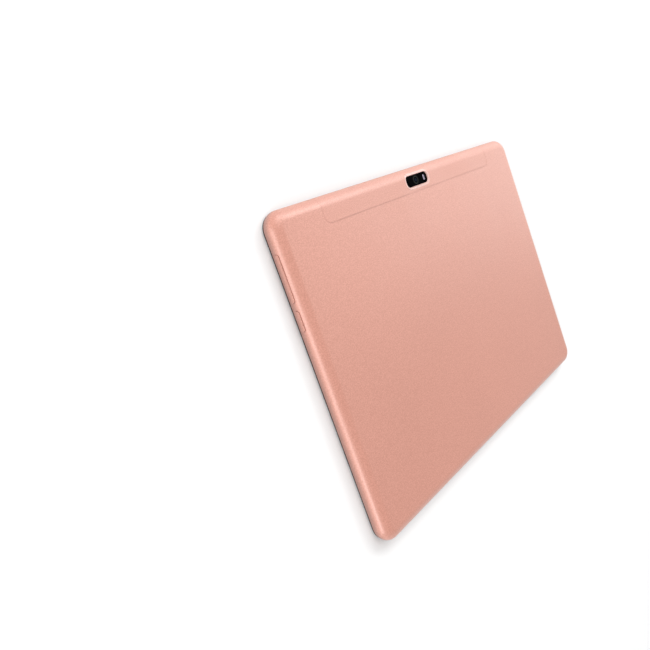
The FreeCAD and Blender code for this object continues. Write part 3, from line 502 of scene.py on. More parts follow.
ROSE = AnodisedMetal("rose_metal", (197, 134, 116), (206, 143, 125), (215, 152, 134))
ROSE_STRIP = AnodisedMetal(
    "rose_plastic", (198, 135, 117), (207, 144, 126), (216, 153, 135),
    (0.39, 0.45), 0.04, 1600.0,
)
ROSE_BEVEL = AnodisedMetal(
    "rose_polished", (206, 160, 148), (213, 169, 158), (220, 178, 168),
    (0.25, 0.32), 0.12, 1800.0, 0.004 * MM,
)
PLAIN_FINISHES = (
    Finish(
        "flash_diffuser", (128, 118, 136), (158, 148, 166), (0.18, 0.3),
        0.0, 1600.0, 2200.0, 0.02 * MM, coat=0.3,
    ),
    Finish("black_bezel", (14, 14, 15), (24, 24, 26), (0.34, 0.5), 0.0, 120.0, 5200.0, 0.012 * MM),
    Finish("adhesive", (20, 20, 21), (36, 36, 37), (0.7, 0.9), 0.0, 300.0, 3000.0, 0.04 * MM),
    Finish("touch_film", (52, 56, 62), (66, 70, 76), (0.08, 0.16), 0.0, 40.0, 900.0, 0.004 * MM, coat=0.5),
    Finish("lcd", (24, 28, 38), (34, 38, 50), (0.1, 0.2), 0.0, 40.0, 900.0, 0.004 * MM, coat=0.4),
    Finish(
        "backlight", (186, 188, 190), (214, 216, 217), (0.25, 0.4),
        0.6, 30.0, 700.0, 0.01 * MM, (1, 6, 1),
    ),
    Finish(
        "steel_sheet", (150, 151, 154), (178, 179, 182), (0.28, 0.42),
        1.0, 50.0, 900.0, 0.008 * MM, (1, 14, 1),
    ),
    Finish("screw_steel", (44, 44, 47), (74, 74, 78), (0.25, 0.4), 1.0, 700.0, 2600.0, 0.01 * MM),
    Finish("brass_spacer", (196, 160, 84), (222, 188, 110), (0.22, 0.34), 1.0, 600.0, 2200.0, 0.008 * MM),
    Finish("chip_resin", (26, 26, 28), (40, 40, 43), (0.45, 0.6), 0.0, 200.0, 6000.0, 0.01 * MM),
    Finish(
        "tin_shield", (176, 178, 181), (204, 206, 208), (0.2, 0.34),
        1.0, 90.0, 1500.0, 0.008 * MM, (9, 1, 1),
    ),
    Finish(
        "connector_steel", (172, 172, 174), (204, 204, 205), (0.18, 0.32),
        1.0, 200.0, 1800.0, 0.007 * MM, (1, 8, 1),
    ),
    Finish("black_nylon", (18, 18, 19), (32, 32, 34), (0.4, 0.55), 0.0, 250.0, 4200.0, 0.012 * MM),
    Finish(
        "flex", (156, 92, 28), (190, 118, 44), (0.18, 0.3),
        0.0, 70.0, 900.0, 0.01 * MM, (12, 1, 1), 0.5,
    ),
    Finish("pouch", (170, 172, 176), (206, 208, 211), (0.24, 0.4), 0.9, 26.0, 260.0, 0.04 * MM),
    Finish("switch_metal", (184, 184, 186), (214, 214, 215), (0.15, 0.26), 1.0, 900.0, 2600.0, 0.006 * MM),
    Finish("foil", (196, 132, 84), (222, 160, 110), (0.2, 0.32), 1.0, 90.0, 1500.0, 0.006 * MM),
    Finish("mesh", (22, 22, 24), (44, 44, 46), (0.4, 0.6), 0.3, 900.0, 4000.0, 0.01 * MM),
    Finish("lead", (148, 22, 18), (182, 36, 30), (0.3, 0.45), 0.0, 300.0, 1600.0, 0.008 * MM),
)
FLOOR_PAPER = Finish(
    "floor_paper", (244, 244, 244), (247, 247, 247), (0.8, 0.9), 0.0, 3.0, 300.0, 0.01 * MM, specular=0.1
)


class FinishShelf:
    """Every material of the tablet by the record's slot name."""

    # Radius of the lens ring to the width of the camera module.
    LENS_SHARE = 0.36
    # Distance of the lit area's edge inside the panel's edge, along X and along Y, in metres.
    PRINTED_BORDER: Pair = (5.0 * MM, 5.7 * MM)

    def __init__(self) -> None:
        """Make all materials."""
        lens_low, lens_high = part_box("rear_camera_module")
        seal_low, seal_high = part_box("camera_gasket")
        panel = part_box("lcd_panel")[1]
        finishes = [
            *PLAIN_FINISHES,
            ROSE,
            ROSE_STRIP,
            ROSE_BEVEL,
            TintedWindow(
                "window_glass",
                (seal_low[0] + seal_high[0]) / 2,
                (seal_low[1] + seal_high[1]) / 2,
                (lens_high[0] - lens_low[0]) * self.LENS_SHARE,
            ),
            CoverGlass("cover_glass", panel[0] - self.PRINTED_BORDER[0], panel[1] - self.PRINTED_BORDER[1]),
            SolderMask("board", (14, 74, 44), (26, 100, 62)),
            SolderMask("black_board", (16, 20, 34), (30, 36, 56)),
        ]
        self.materials = {finish.name: finish.build() for finish in finishes}
        self.node_slot = {part["node"]: part["material_slot"] for part in frame["record"]["subparts"]}

    def dress_frame(self) -> None:
        """Give every CAD node its material."""
        for name, piece in frame["nodes"].items():
            piece.data.materials.clear()
            piece.data.materials.append(self.materials[self.node_slot[name]])

    def dress(self, piece: Piece, slot: str, body: Body, *nodes: str) -> Piece:
        """Give a piece its finish and its body, and hide the CAD nodes that it stands for.

        Args:
            piece: Object to finish.
            slot: Material slot of the record.
            body: Body that it rides on.
            nodes: CAD nodes that it replaces.

        Returns:
            The same object.
        """
        piece.data.materials.clear()
        piece.data.materials.append(self.materials[slot])
        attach(piece, body.value)
        if nodes:
            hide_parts(*nodes)
        LOG.info("%s: %d faces on %s", piece.name, len(piece.data.polygons), body.value)
        return piece


# Shell form and mesh helpers


@dataclass(frozen=True)
class RolledForm:
    """The tablet's outer form: a rounded rectangle whose edge rolls over in three arcs.

    Attributes:
        half_x: Half length, in metres.
        half_y: Half depth.
        height: Height of the back.
        corner: Corner radius in plan.
        roll: Width of the rolled edge.
        peak_z: Height where the wall stands furthest out.
        side_radius: Roll radius by the wall.
        base_z: Lower rim.
        base_inset: How far the rim is drawn in.
    """

    half_x: float
    half_y: float
    height: float
    corner: float = 9.25 * MM
    roll: float = 6.5 * MM
    peak_z: float = 3.3 * MM
    side_radius: float = 3.6 * MM
    base_z: float = 1.1 * MM
    base_inset: float = 0.45 * MM

    @property
    def crown_radius(self) -> float:
        """Radius of the arc that runs into the back."""
        rise = self.height - self.peak_z
        run = self.roll - self.side_radius
        return (run**2 + rise**2 - self.side_radius**2) / (2 * (rise - self.side_radius))

    @property
    def base_radius(self) -> float:
        """Radius of the arc below the widest line."""
        drop = self.peak_z - self.base_z
        return (drop**2 + self.base_inset**2) / (2 * self.base_inset)

    def normals(self, points: np.ndarray) -> np.ndarray:
        """Outward normals of the form, or of a form offset from it, at points near its skin.

        Args:
            points: Positions, one row each, in metres.

        Returns:
            Unit normals, one row each.
        """
        signs = np.where(points[:, :2] < 0, -1.0, 1.0)
        past = np.abs(points[:, :2]) - np.array([self.half_x - self.corner, self.half_y - self.corner])
        in_corner = (past[:, 0] > 0) & (past[:, 1] > 0)
        side_x = ~in_corner & (past[:, 0] >= past[:, 1])
        side_y = ~in_corner & ~side_x
        plan = np.zeros((len(points), 2))
        reach = np.maximum(past[:, 0], past[:, 1])
        length = np.hypot(past[:, 0], past[:, 1])
        plan[in_corner] = past[in_corner] / np.maximum(length[in_corner, None], TINY)
        reach[in_corner] = length[in_corner]
        plan[side_x] = (1, 0)
        plan[side_y] = (0, 1)
        plan *= signs
        inset = self.corner - reach
        rise = points[:, 2] - self.peak_z
        crown_z = self.height - self.crown_radius
        join = math.atan2(self.peak_z - crown_z, self.roll - self.side_radius)
        out = self.side_radius - inset
        angle = np.arctan2(rise, out)
        up = rise.copy()
        crown = (rise > 0) & ((angle > join) | (inset > self.side_radius))
        out[crown] = self.roll - inset[crown]
        up[crown] = points[crown, 2] - crown_z
        low = rise <= 0
        out[low] = self.base_radius - inset[low]
        flat = (inset >= self.roll) & ~low
        out[flat] = 0
        up[flat] = 1
        normals = np.column_stack([plan[:, 0] * out, plan[:, 1] * out, up])
        return normals / np.maximum(np.linalg.norm(normals, axis=1), TINY)[:, None]

    def smooth(self, piece: Piece, keep_angle: float = 24.0) -> None:
        """Give a piece's skin the exact normals of the form where its faces lie along it.

        Args:
            piece: Object whose mesh follows the form in part.
            keep_angle: Faces turned further than this from the form stay flat, in degrees.
        """
        mesh = piece.data
        vertex_of = np.zeros(len(mesh.loops), dtype=np.int64)
        mesh.loops.foreach_get("vertex_index", vertex_of)
        places = np.zeros(len(mesh.vertices) * 3)
        mesh.vertices.foreach_get("co", places)
        exact = self.normals(places.reshape(-1, 3))[vertex_of]
        sizes = np.zeros(len(mesh.polygons), dtype=np.int64)
        mesh.polygons.foreach_get("loop_total", sizes)
        facing = np.zeros(len(mesh.polygons) * 3)
        mesh.polygons.foreach_get("normal", facing)
        face = np.repeat(facing.reshape(-1, 3), sizes, axis=0)
        lean = np.sum(face * exact, axis=1)
        limit = math.cos(math.radians(keep_angle))
        chosen = np.where((lean > limit)[:, None], exact, face)
        chosen = np.where((lean < -limit)[:, None], -exact, chosen)
        mesh.polygons.foreach_set("use_smooth", np.ones(len(mesh.polygons), dtype=bool))
        mesh.normals_split_custom_set(chosen.tolist())


def joined_mesh(node: str) -> bmesh.types.BMesh:
    """Working mesh of a CAD node with its doubled vertices joined; the caller frees it."""
    work = bmesh.new()
    work.from_mesh(frame["nodes"][node].data)
    bmesh.ops.remove_doubles(work, verts=work.verts, dist=MERGE_DISTANCE)
    return work


def copied_mesh(node: str, name: str) -> Mesh:
    """Copy a CAD node's mesh, with its doubled vertices joined, under a new name."""
    mesh = frame["nodes"][node].data.copy()
    mesh.name = name
    work = joined_mesh(node)
    work.to_mesh(mesh)
    work.free()
    return mesh


def in_scene(name: str, data: bpy.types.ID) -> Piece:
    """Make an object with this data and link it to the scene."""
    piece = bpy.data.objects.new(name, data)
    bpy.context.scene.collection.objects.link(piece)
    return piece


def copy_of(node: str, name: str) -> Piece:
    """Copy a CAD node into a new piece of this name."""
    return in_scene(name, copied_mesh(node, name))


def crease_by_angle(piece: Piece, degrees: float) -> None:
    """Shade a piece smooth except across edges sharper than this angle."""
    mesh = piece.data
    mesh.polygons.foreach_set("use_smooth", [True] * len(mesh.polygons))
    mesh.set_sharp_from_angle(angle=math.radians(degrees))


def bake_modifiers(piece: Piece) -> None:
    """Turn a piece's modifiers into plain mesh."""
    bpy.context.view_layer.update()
    graph = bpy.context.evaluated_depsgraph_get()
    mesh = bpy.data.meshes.new_from_object(piece.evaluated_get(graph))
    mesh.name = piece.name
    piece.modifiers.clear()
    piece.data = mesh


def soften_edges(piece: Piece, width: float, segments: int = 2, angle: float = 35.0) -> None:
    """Round a piece's hard edges and bake the result.

    Args:
        piece: Object to round.
        width: Width of the rounding, in metres.
        segments: Steps across it.
        angle: Edges flatter than this stay, in degrees.
    """
    work = bmesh.new()
    work.from_mesh(piece.data)
    bmesh.ops.dissolve_limit(work, angle_limit=FLAT_ANGLE, verts=work.verts, edges=work.edges)
    work.to_mesh(piece.data)
    work.free()
    bevel = piece.modifiers.new("edge", "BEVEL")
    bevel.width = width
    bevel.segments = segments
    bevel.limit_method = "ANGLE"
    bevel.angle_limit = math.radians(angle)
    bevel.use_clamp_overlap = True
    bake_modifiers(piece)


def island_boxes(node: str) -> list[tuple[Vector, Vector]]:
    """Corners of each separate solid in a CAD node.

    Args:
        node: CAD node.

    Returns:
        Lowest and highest corner of each solid, in order along X, then Y.
    """
    work = joined_mesh(node)
    left = set(work.verts)
    boxes: list[tuple[Vector, Vector]] = []
    while left:
        queue = [left.pop()]
        island = list(queue)
        while queue:
            for edge in queue.pop().link_edges:
                for vertex in edge.verts:
                    if vertex in left:
                        left.remove(vertex)
                        queue.append(vertex)
                        island.append(vertex)
        places = np.array([vertex.co[:] for vertex in island])
        boxes.append((Vector(places.min(axis=0)), Vector(places.max(axis=0))))
    work.free()
    return sorted(boxes, key=lambda pair: (round(pair[0].x, 4), round(pair[0].y, 4)))


# Geometry Nodes


class GrowthTree(NodeSheet):
    """A Geometry Nodes tree with named inputs that turns a seed mesh into a finished one."""

    def __init__(self, name: str) -> None:
        """Start a tree with this name and with a geometry input and output."""
        super().__init__(bpy.data.node_groups.new(name, "GeometryNodeTree"))
        self.name = name
        for way in ("OUTPUT", "INPUT"):
            self.tree.interface.new_socket(name="Geometry", in_out=way, socket_type="NodeSocketGeometry")
        self.values: dict[str, object] = {}
        self.entry = self.node("NodeGroupInput")
        self.exit = self.node("NodeGroupOutput")

    @property
    def seed(self) -> Socket:
        """Socket with the seed geometry."""
        return self.entry.outputs["Geometry"]

    def size(self, name: str, value: float) -> Socket:
        """Add a named size and return its socket inside the tree."""
        return self._input(name, "NodeSocketFloat", value)

    def whole(self, name: str, value: int) -> Socket:
        """Add a named whole number and return its socket inside the tree."""
        return self._input(name, "NodeSocketInt", value)

    def _input(self, name: str, kind: str, value: object) -> Socket:
        """Add an input of a kind and return its socket inside the tree."""
        self.tree.interface.new_socket(name=name, in_out="INPUT", socket_type=kind)
        self.values[name] = value
        return self.entry.outputs[name]

    def vector(self, x: object = 0.0, y: object = 0.0, z: object = 0.0) -> Socket:
        """Join three numbers or sockets into a vector socket."""
        return self.feed(self.node("ShaderNodeCombineXYZ"), X=x, Y=y, Z=z).outputs["Vector"]

    def line(self, count: Socket, offset: Socket) -> Socket:
        """Line of points, each moved on by the offset."""
        line = self.node("GeometryNodeMeshLine", mode="OFFSET")
        return self.feed(line, Count=count, Offset=offset).outputs["Mesh"]

    def rod(self, sides: int, radius: Socket, depth: Socket) -> Socket:
        """Upright cylinder round the origin."""
        rod = self.node("GeometryNodeMeshCylinder")
        return self.feed(rod, Vertices=sides, Radius=radius, Depth=depth).outputs["Mesh"]

    def block(self, x: Socket, y: Socket, z: Socket) -> Socket:
        """Block round the origin with these sides."""
        return self.feed(self.node("GeometryNodeMeshCube"), Size=self.vector(x, y, z)).outputs["Mesh"]

    def moved(self, geometry: Socket, offset: object = (0, 0, 0), turn: Triple = (0, 0, 0)) -> Socket:
        """Move and turn a geometry.

        Args:
            geometry: Socket with the geometry.
            offset: Offset, or the socket with it.
            turn: Euler angles in radians.

        Returns:
            The moved geometry socket.
        """
        transform = self.node("GeometryNodeTransform")
        self.feed(transform, Geometry=geometry, Translation=offset, Rotation=turn)
        return transform.outputs["Geometry"]

    def joined(self, *geometries: Socket) -> Socket:
        """Join geometries."""
        join = self.node("GeometryNodeJoinGeometry")
        for geometry in geometries:
            self.feed(join, Geometry=geometry)
        return join.outputs["Geometry"]

    def cut(self, body: Socket, *tools: Socket) -> Socket:
        """Cut tools from a body."""
        cut = self.feed(self.node("GeometryNodeMeshBoolean", operation="DIFFERENCE"), Mesh_1=body)
        for tool in tools:
            self.feed(cut, Mesh_2=tool)
        return cut.outputs["Mesh"]

    def on_points(self, points: Socket, instance: Socket) -> Socket:
        """Put an instance on every point and return the instances."""
        spread = self.node("GeometryNodeInstanceOnPoints")
        return self.feed(spread, Points=points, Instance=instance).outputs["Instances"]

    def grow(self, seed: Mesh, result: Socket, material: Material, name: str) -> Piece:
        """Finish the tree, run it on a seed mesh and keep the outcome as a plain mesh.

        Args:
            seed: Mesh that the tree starts from.
            result: Geometry socket with the result.
            material: Material of the piece.
            name: Name of the piece.

        Returns:
            Object with the finished mesh and no modifier.
        """
        tone = self._input("Material", "NodeSocketMaterial", material)
        realize = self.feed(self.node("GeometryNodeRealizeInstances"), Geometry=result)
        paint = self.node("GeometryNodeSetMaterial")
        self.feed(paint, Geometry=realize.outputs["Geometry"], Material=tone)
        self.feed(self.exit, Geometry=paint.outputs["Geometry"])
        piece = in_scene(name, seed)
        modifier = piece.modifiers.new(self.name, "NODES")
        modifier.node_group = self.tree
        for item in self.tree.interface.items_tree:
            if item.in_out == "INPUT" and item.name in self.values:
                modifier[item.identifier] = self.values[item.name]
        bake_modifiers(piece)
        return piece


def seed_points(places: Sequence[Vector], name: str) -> Mesh:
    """Mesh of loose vertices, one at each place."""
    mesh = bpy.data.meshes.new(name)
    mesh.from_pydata([tuple(place) for place in places], [], [])
    return mesh


def seed_quads(areas: Sequence[Area], z: float, name: str) -> Mesh:
    """Mesh of flat rectangles at one height.

    Args:
        areas: Low and high X, then low and high Y, of each rectangle, in metres.
        z: Height, in metres.
        name: Mesh name.

    Returns:
        The mesh.
    """
    vertices: list[Triple] = []
    faces: list[tuple[int, ...]] = []
    for x_low, x_high, y_low, y_high in areas:
        first = len(vertices)
        vertices += [(x_low, y_low, z), (x_high, y_low, z), (x_high, y_high, z), (x_low, y_high, z)]
        faces.append(tuple(range(first, first + 4)))
    mesh = bpy.data.meshes.new(name)
    mesh.from_pydata(vertices, [], faces)
    return mesh


# Sub-assemblies


@dataclass
class MetalBack:
    """The formed metal back with its rolled edge.

    Attributes:
        form: The outer form that its skin follows.
        shelf: All materials.
    """

    form: RolledForm
    shelf: FinishShelf

    def build(self) -> Piece:
        """Make the back from its solid, with the exact normals of its rolled skin."""
        back = copy_of("rear_cover", "metal_back")
        self.form.smooth(back)
        return self.shelf.dress(back, "rose_metal", Body.TABLET, "rear_cover")


@dataclass
class CameraStrip:
    """The lift-off strip with the bevelled trim ring, the dark window and the flash lens.

    Attributes:
        form: The outer form that the strip follows.
        shelf: All materials.
        window_edge: Rounding of the window's edge, in metres.
        ribs: Ridges across the flash lens.
        rib_sides: Sides of a ridge.
        rib_radius: Radius of a ridge, as a share of the distance between ridges.
        rib_length: Length of a ridge, as a share of the lens's width.
        rib_drop: Depth of the ridges' middle below the lens's face, in metres.
    """

    form: RolledForm
    shelf: FinishShelf
    window_edge: float = 0.12 * MM
    ribs: int = 7
    rib_sides: int = 12
    rib_radius: float = 0.48
    rib_length: float = 0.86
    rib_drop: float = 0.12 * MM

    def build(self) -> list[Piece]:
        """Make all pieces of the strip."""
        return [self.strip(), self.ring(), self.window(), self.flash()]

    def strip(self) -> Piece:
        """Make the moulded strip."""
        strip = copy_of("card_cover", "card_strip")
        self.form.smooth(strip)
        return self.shelf.dress(strip, "rose_plastic", Body.COVER_STRIP, "card_cover")

    def ring(self) -> Piece:
        """Make the bright ring."""
        ring = copy_of("camera_trim_ring", "window_ring")
        self.form.smooth(ring, 12.0)
        return self.shelf.dress(ring, "rose_polished", Body.COVER_STRIP, "camera_trim_ring")

    def window(self) -> Piece:
        """Make the dark window with softened edges."""
        window = copy_of("camera_window", "dark_window")
        soften_edges(window, self.window_edge, 3)
        crease_by_angle(window, 40)
        return self.shelf.dress(window, "window_glass", Body.COVER_STRIP, "camera_window")

    def flash(self) -> Piece:
        """Make the flash lens as a row of ridges on its solid, grown by a node tree."""
        low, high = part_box("flash_lens")
        tree = GrowthTree("lens_ridges")
        length = tree.size("Lens Length", high[1] - low[1])
        width = tree.size("Lens Width", high[0] - low[0])
        count = tree.whole("Ridges", self.ribs)
        pitch = tree.math("DIVIDE", length, tree.math("ADD", count, 1.0))
        line = tree.line(count, tree.vector(y=pitch))
        radius = tree.math("MULTIPLY", pitch, self.rib_radius)
        rod = tree.rod(self.rib_sides, radius, tree.math("MULTIPLY", width, self.rib_length))
        ridges = tree.on_points(line, tree.moved(rod, turn=(0, math.pi / 2, 0)))
        first_y = low[1] + (high[1] - low[1]) / (self.ribs + 1)
        placed = tree.moved(ridges, ((low[0] + high[0]) / 2, first_y, high[2] - self.rib_drop))
        seed = copied_mesh("flash_lens", "flash_seed")
        whole = tree.joined(tree.seed, placed)
        lens = tree.grow(seed, whole, self.shelf.materials["flash_diffuser"], "flash_ridges")
        crease_by_angle(lens, 40)
        return self.shelf.dress(lens, "flash_diffuser", Body.COVER_STRIP, "flash_lens")


@dataclass
class SideKeys:
    """The two keys on the short side, with rounded caps.

    Attributes:
        form: The outer form that the caps follow.
        shelf: All materials.
        edge: Rounding of the cap's edges, in metres.
    """

    form: RolledForm
    shelf: FinishShelf
    edge: float = 0.16 * MM

    def build(self) -> list[Piece]:
        """Make both keys."""
        return [
            self.key("volume_rocker", "volume_cap", Body.VOLUME_KEY),
            self.key("power_button", "power_cap", Body.POWER_KEY),
        ]

    def key(self, node: str, name: str, body: Body) -> Piece:
        """Make one key.

        Args:
            node: CAD node of the key.
            name: Name of the piece.
            body: Body that it rides on.

        Returns:
            The key.
        """
        key = copy_of(node, name)
        soften_edges(key, self.edge, 2, 50)
        self.form.smooth(key, 10.0)
        return self.shelf.dress(key, "rose_metal", body, node)


@dataclass
class ScreenSide:
    """Cover glass and black bezel that show round the foot of the metal wall.

    Attributes:
        shelf: All materials.
    """

    shelf: FinishShelf

    def build(self) -> list[Piece]:
        """Make the glass and the bezel."""
        glass = copy_of("front_glass", "screen_glass")
        crease_by_angle(glass, 20)
        bezel = copy_of("front_frame", "black_bezel_frame")
        crease_by_angle(bezel, 30)
        return [
            self.shelf.dress(glass, "cover_glass", Body.TABLET, "front_glass"),
            self.shelf.dress(bezel, "black_bezel", Body.TABLET, "front_frame"),
        ]


@dataclass
class Fasteners:
    """All small screws, grown from their places by one node tree per set.

    Attributes:
        shelf: All materials.
        sides: Sides of a round head.
        head: Height of a head, as a share of its radius.
        arm_length: Length of a cross arm, as a share of the head's radius.
        arm_width: Width of a cross arm, as a share of the head's radius.
        shank: Radius of the shank, as a share of the head's radius.
    """

    shelf: FinishShelf
    sides: int = 28
    head: float = 1 / 3
    arm_length: float = 1.15
    arm_width: float = 0.24
    shank: float = 0.43

    def build(self) -> list[Piece]:
        """Make the three sets of screws."""
        return [self.screws(node) for node in ("cover_screws", "board_screws", "chassis_screws")]

    def screws(self, node: str) -> Piece:
        """Make one set.

        Args:
            node: CAD node with the set's solids.

        Returns:
            The piece with all screws of the set.
        """
        boxes = island_boxes(node)
        low, high = boxes[0]
        head_radius = (high.x - low.x) / 2
        places = [Vector(((a.x + b.x) / 2, (a.y + b.y) / 2, b.z)) for a, b in boxes]
        tree = GrowthTree(node + "_tree")
        radius = tree.size("Head Radius", head_radius)
        height = tree.size("Head Height", head_radius * self.head)
        length = tree.size("Length", high.z - low.z)
        lowered = tree.vector(z=tree.math("MULTIPLY", height, -0.5))
        head = tree.moved(tree.rod(self.sides, radius, height), lowered)
        arm_length = tree.math("MULTIPLY", radius, self.arm_length)
        arm = tree.block(arm_length, tree.math("MULTIPLY", radius, self.arm_width), height)
        crossed = tree.cut(head, *(tree.moved(arm, turn=(0, 0, turn)) for turn in (0.0, math.pi / 2)))
        shank_radius = tree.math("MULTIPLY", radius, self.shank)
        shank = tree.rod(self.sides // 2, shank_radius, tree.math("SUBTRACT", length, height))
        drop = tree.math("MULTIPLY", tree.math("ADD", length, height), -0.5)
        screw = tree.joined(crossed, tree.moved(shank, tree.vector(z=drop)))
        seed = seed_points(places, node + "_places")
        whole = tree.on_points(tree.seed, screw)
        piece = tree.grow(seed, whole, self.shelf.materials["screw_steel"], node + "_set")
        crease_by_angle(piece, 35)
        return self.shelf.dress(piece, "screw_steel", Body.TABLET, node)


@dataclass
class SoundOpenings:
    """Woven dust mesh behind the speaker holes.

    Attributes:
        shelf: All materials.
        pitch: Distance between wires, in metres.
        wire: Wire radius, in metres.
    """

    shelf: FinishShelf
    pitch: float = 0.32 * MM
    wire: float = 0.07 * MM

    def build(self) -> Piece:
        """Make both mesh strips with one node tree."""
        boxes = island_boxes("speaker_meshes")
        low, high = boxes[0]
        width = high.x - low.x
        height = high.z - low.z
        tree = GrowthTree("dust_mesh")
        span = tree.size("Width", width)
        rise = tree.size("Height", height)
        columns = tree.whole("Columns", int(width / self.pitch))
        rows = tree.whole("Rows", int(height / self.pitch))
        wire = tree.size("Wire Radius", self.wire)
        grid = tree.node("GeometryNodeMeshGrid")
        tree.feed(grid, Size_X=span, Size_Y=rise, Vertices_X=columns, Vertices_Y=rows)
        curves = tree.feed(tree.node("GeometryNodeMeshToCurve"), Mesh=grid.outputs["Mesh"])
        section = tree.feed(tree.node("GeometryNodeCurvePrimitiveCircle"), Resolution=4, Radius=wire)
        weave = tree.node("GeometryNodeCurveToMesh")
        tree.feed(weave, Curve=curves.outputs["Curve"], Profile_Curve=section.outputs["Curve"])
        upright = tree.moved(weave.outputs["Mesh"], turn=(math.pi / 2, 0, 0))
        seed = seed_points([(a + b) / 2 for a, b in boxes], "dust_mesh_places")
        whole = tree.on_points(tree.seed, upright)
        piece = tree.grow(seed, whole, self.shelf.materials["mesh"], "dust_mesh")
        return self.shelf.dress(piece, "mesh", Body.TABLET, "speaker_meshes")


class Mouth(Enum):
    """Way that a socket opens, with the turn about Z of its contact row in radians."""

    PLUS_Y = 0.0
    PLUS_X = -math.pi / 2


@dataclass(frozen=True)
class ContactRow:
    """Sizes of a row of flat contacts.

    Attributes:
        count: Contacts.
        pitch: Distance between contacts, in metres.
        width: Width of a contact.
        length: Length of a contact, along the way that the plug goes in.
        thickness: Thickness of a contact.
    """

    count: int
    pitch: float
    width: float
    length: float
    thickness: float

    def grow(self, name: str, centre: Vector, mouth: Mouth, material: Material) -> Piece:
        """Grow the row with a node tree.

        Args:
            name: Name of the piece.
            centre: Middle of the row.
            mouth: Way that the socket opens.
            material: Material of the contacts.

        Returns:
            The row of contacts.
        """
        tree = GrowthTree(name + "_tree")
        contacts = tree.whole("Contacts", self.count)
        step = tree.size("Pitch", self.pitch)
        width = tree.size("Contact Width", self.width)
        length = tree.size("Contact Length", self.length)
        thickness = tree.size("Contact Thickness", self.thickness)
        line = tree.line(contacts, tree.vector(step))
        span = tree.math("MULTIPLY", tree.math("SUBTRACT", contacts, 1.0), step)
        centred = tree.moved(line, tree.vector(tree.math("MULTIPLY", span, -0.5)))
        row = tree.on_points(centred, tree.block(width, length, thickness))
        turned = tree.moved(row, turn=(0, 0, mouth.value))
        result = tree.on_points(tree.seed, turned)
        return tree.grow(seed_points([centre], name + "_place"), result, material, name)


@dataclass
class Sockets:
    """Contacts inside the USB socket and the card slots.

    Attributes:
        shelf: All materials.
        usb_row: Contacts on the USB tongue.
        card_row: Contacts in each card slot.
        tongue_reach: Distance of the USB contacts' middle behind the socket's mouth, in metres.
        tongue_rise: Height of the USB contacts over the socket's middle.
        card_reach: Distance of the card contacts' middle from the slot's closed end.
        card_rise: Height of the card contacts over the slot's floor.
    """

    shelf: FinishShelf
    usb_row: ContactRow = ContactRow(5, 0.65 * MM, 0.3 * MM, 3.2 * MM, 0.08 * MM)
    card_row: ContactRow = ContactRow(6, 1.7 * MM, 0.8 * MM, 2.4 * MM, 0.12 * MM)
    tongue_reach: float = 2.7 * MM
    tongue_rise: float = 0.11 * MM
    card_reach: float = 9.4 * MM
    card_rise: float = 0.36 * MM

    def build(self) -> list[Piece]:
        """Make the contact rows."""
        copper = self.shelf.materials["foil"]
        low, high = (Vector(corner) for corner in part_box("usb_port"))
        middle = (low + high) / 2
        place = Vector((high.x - self.tongue_reach, middle.y, middle.z + self.tongue_rise))
        rows = [self.usb_row.grow("usb_contacts", place, Mouth.PLUS_X, copper)]
        for node in ("sim_slot_one", "sim_slot_two", "microsd_slot"):
            low, high = (Vector(corner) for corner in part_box(node))
            place = Vector(((low.x + high.x) / 2, low.y + self.card_reach, low.z + self.card_rise))
            rows.append(self.card_row.grow(node + "_contacts", place, Mouth.PLUS_Y, copper))
        return [self.shelf.dress(row, "foil", Body.TABLET) for row in rows]


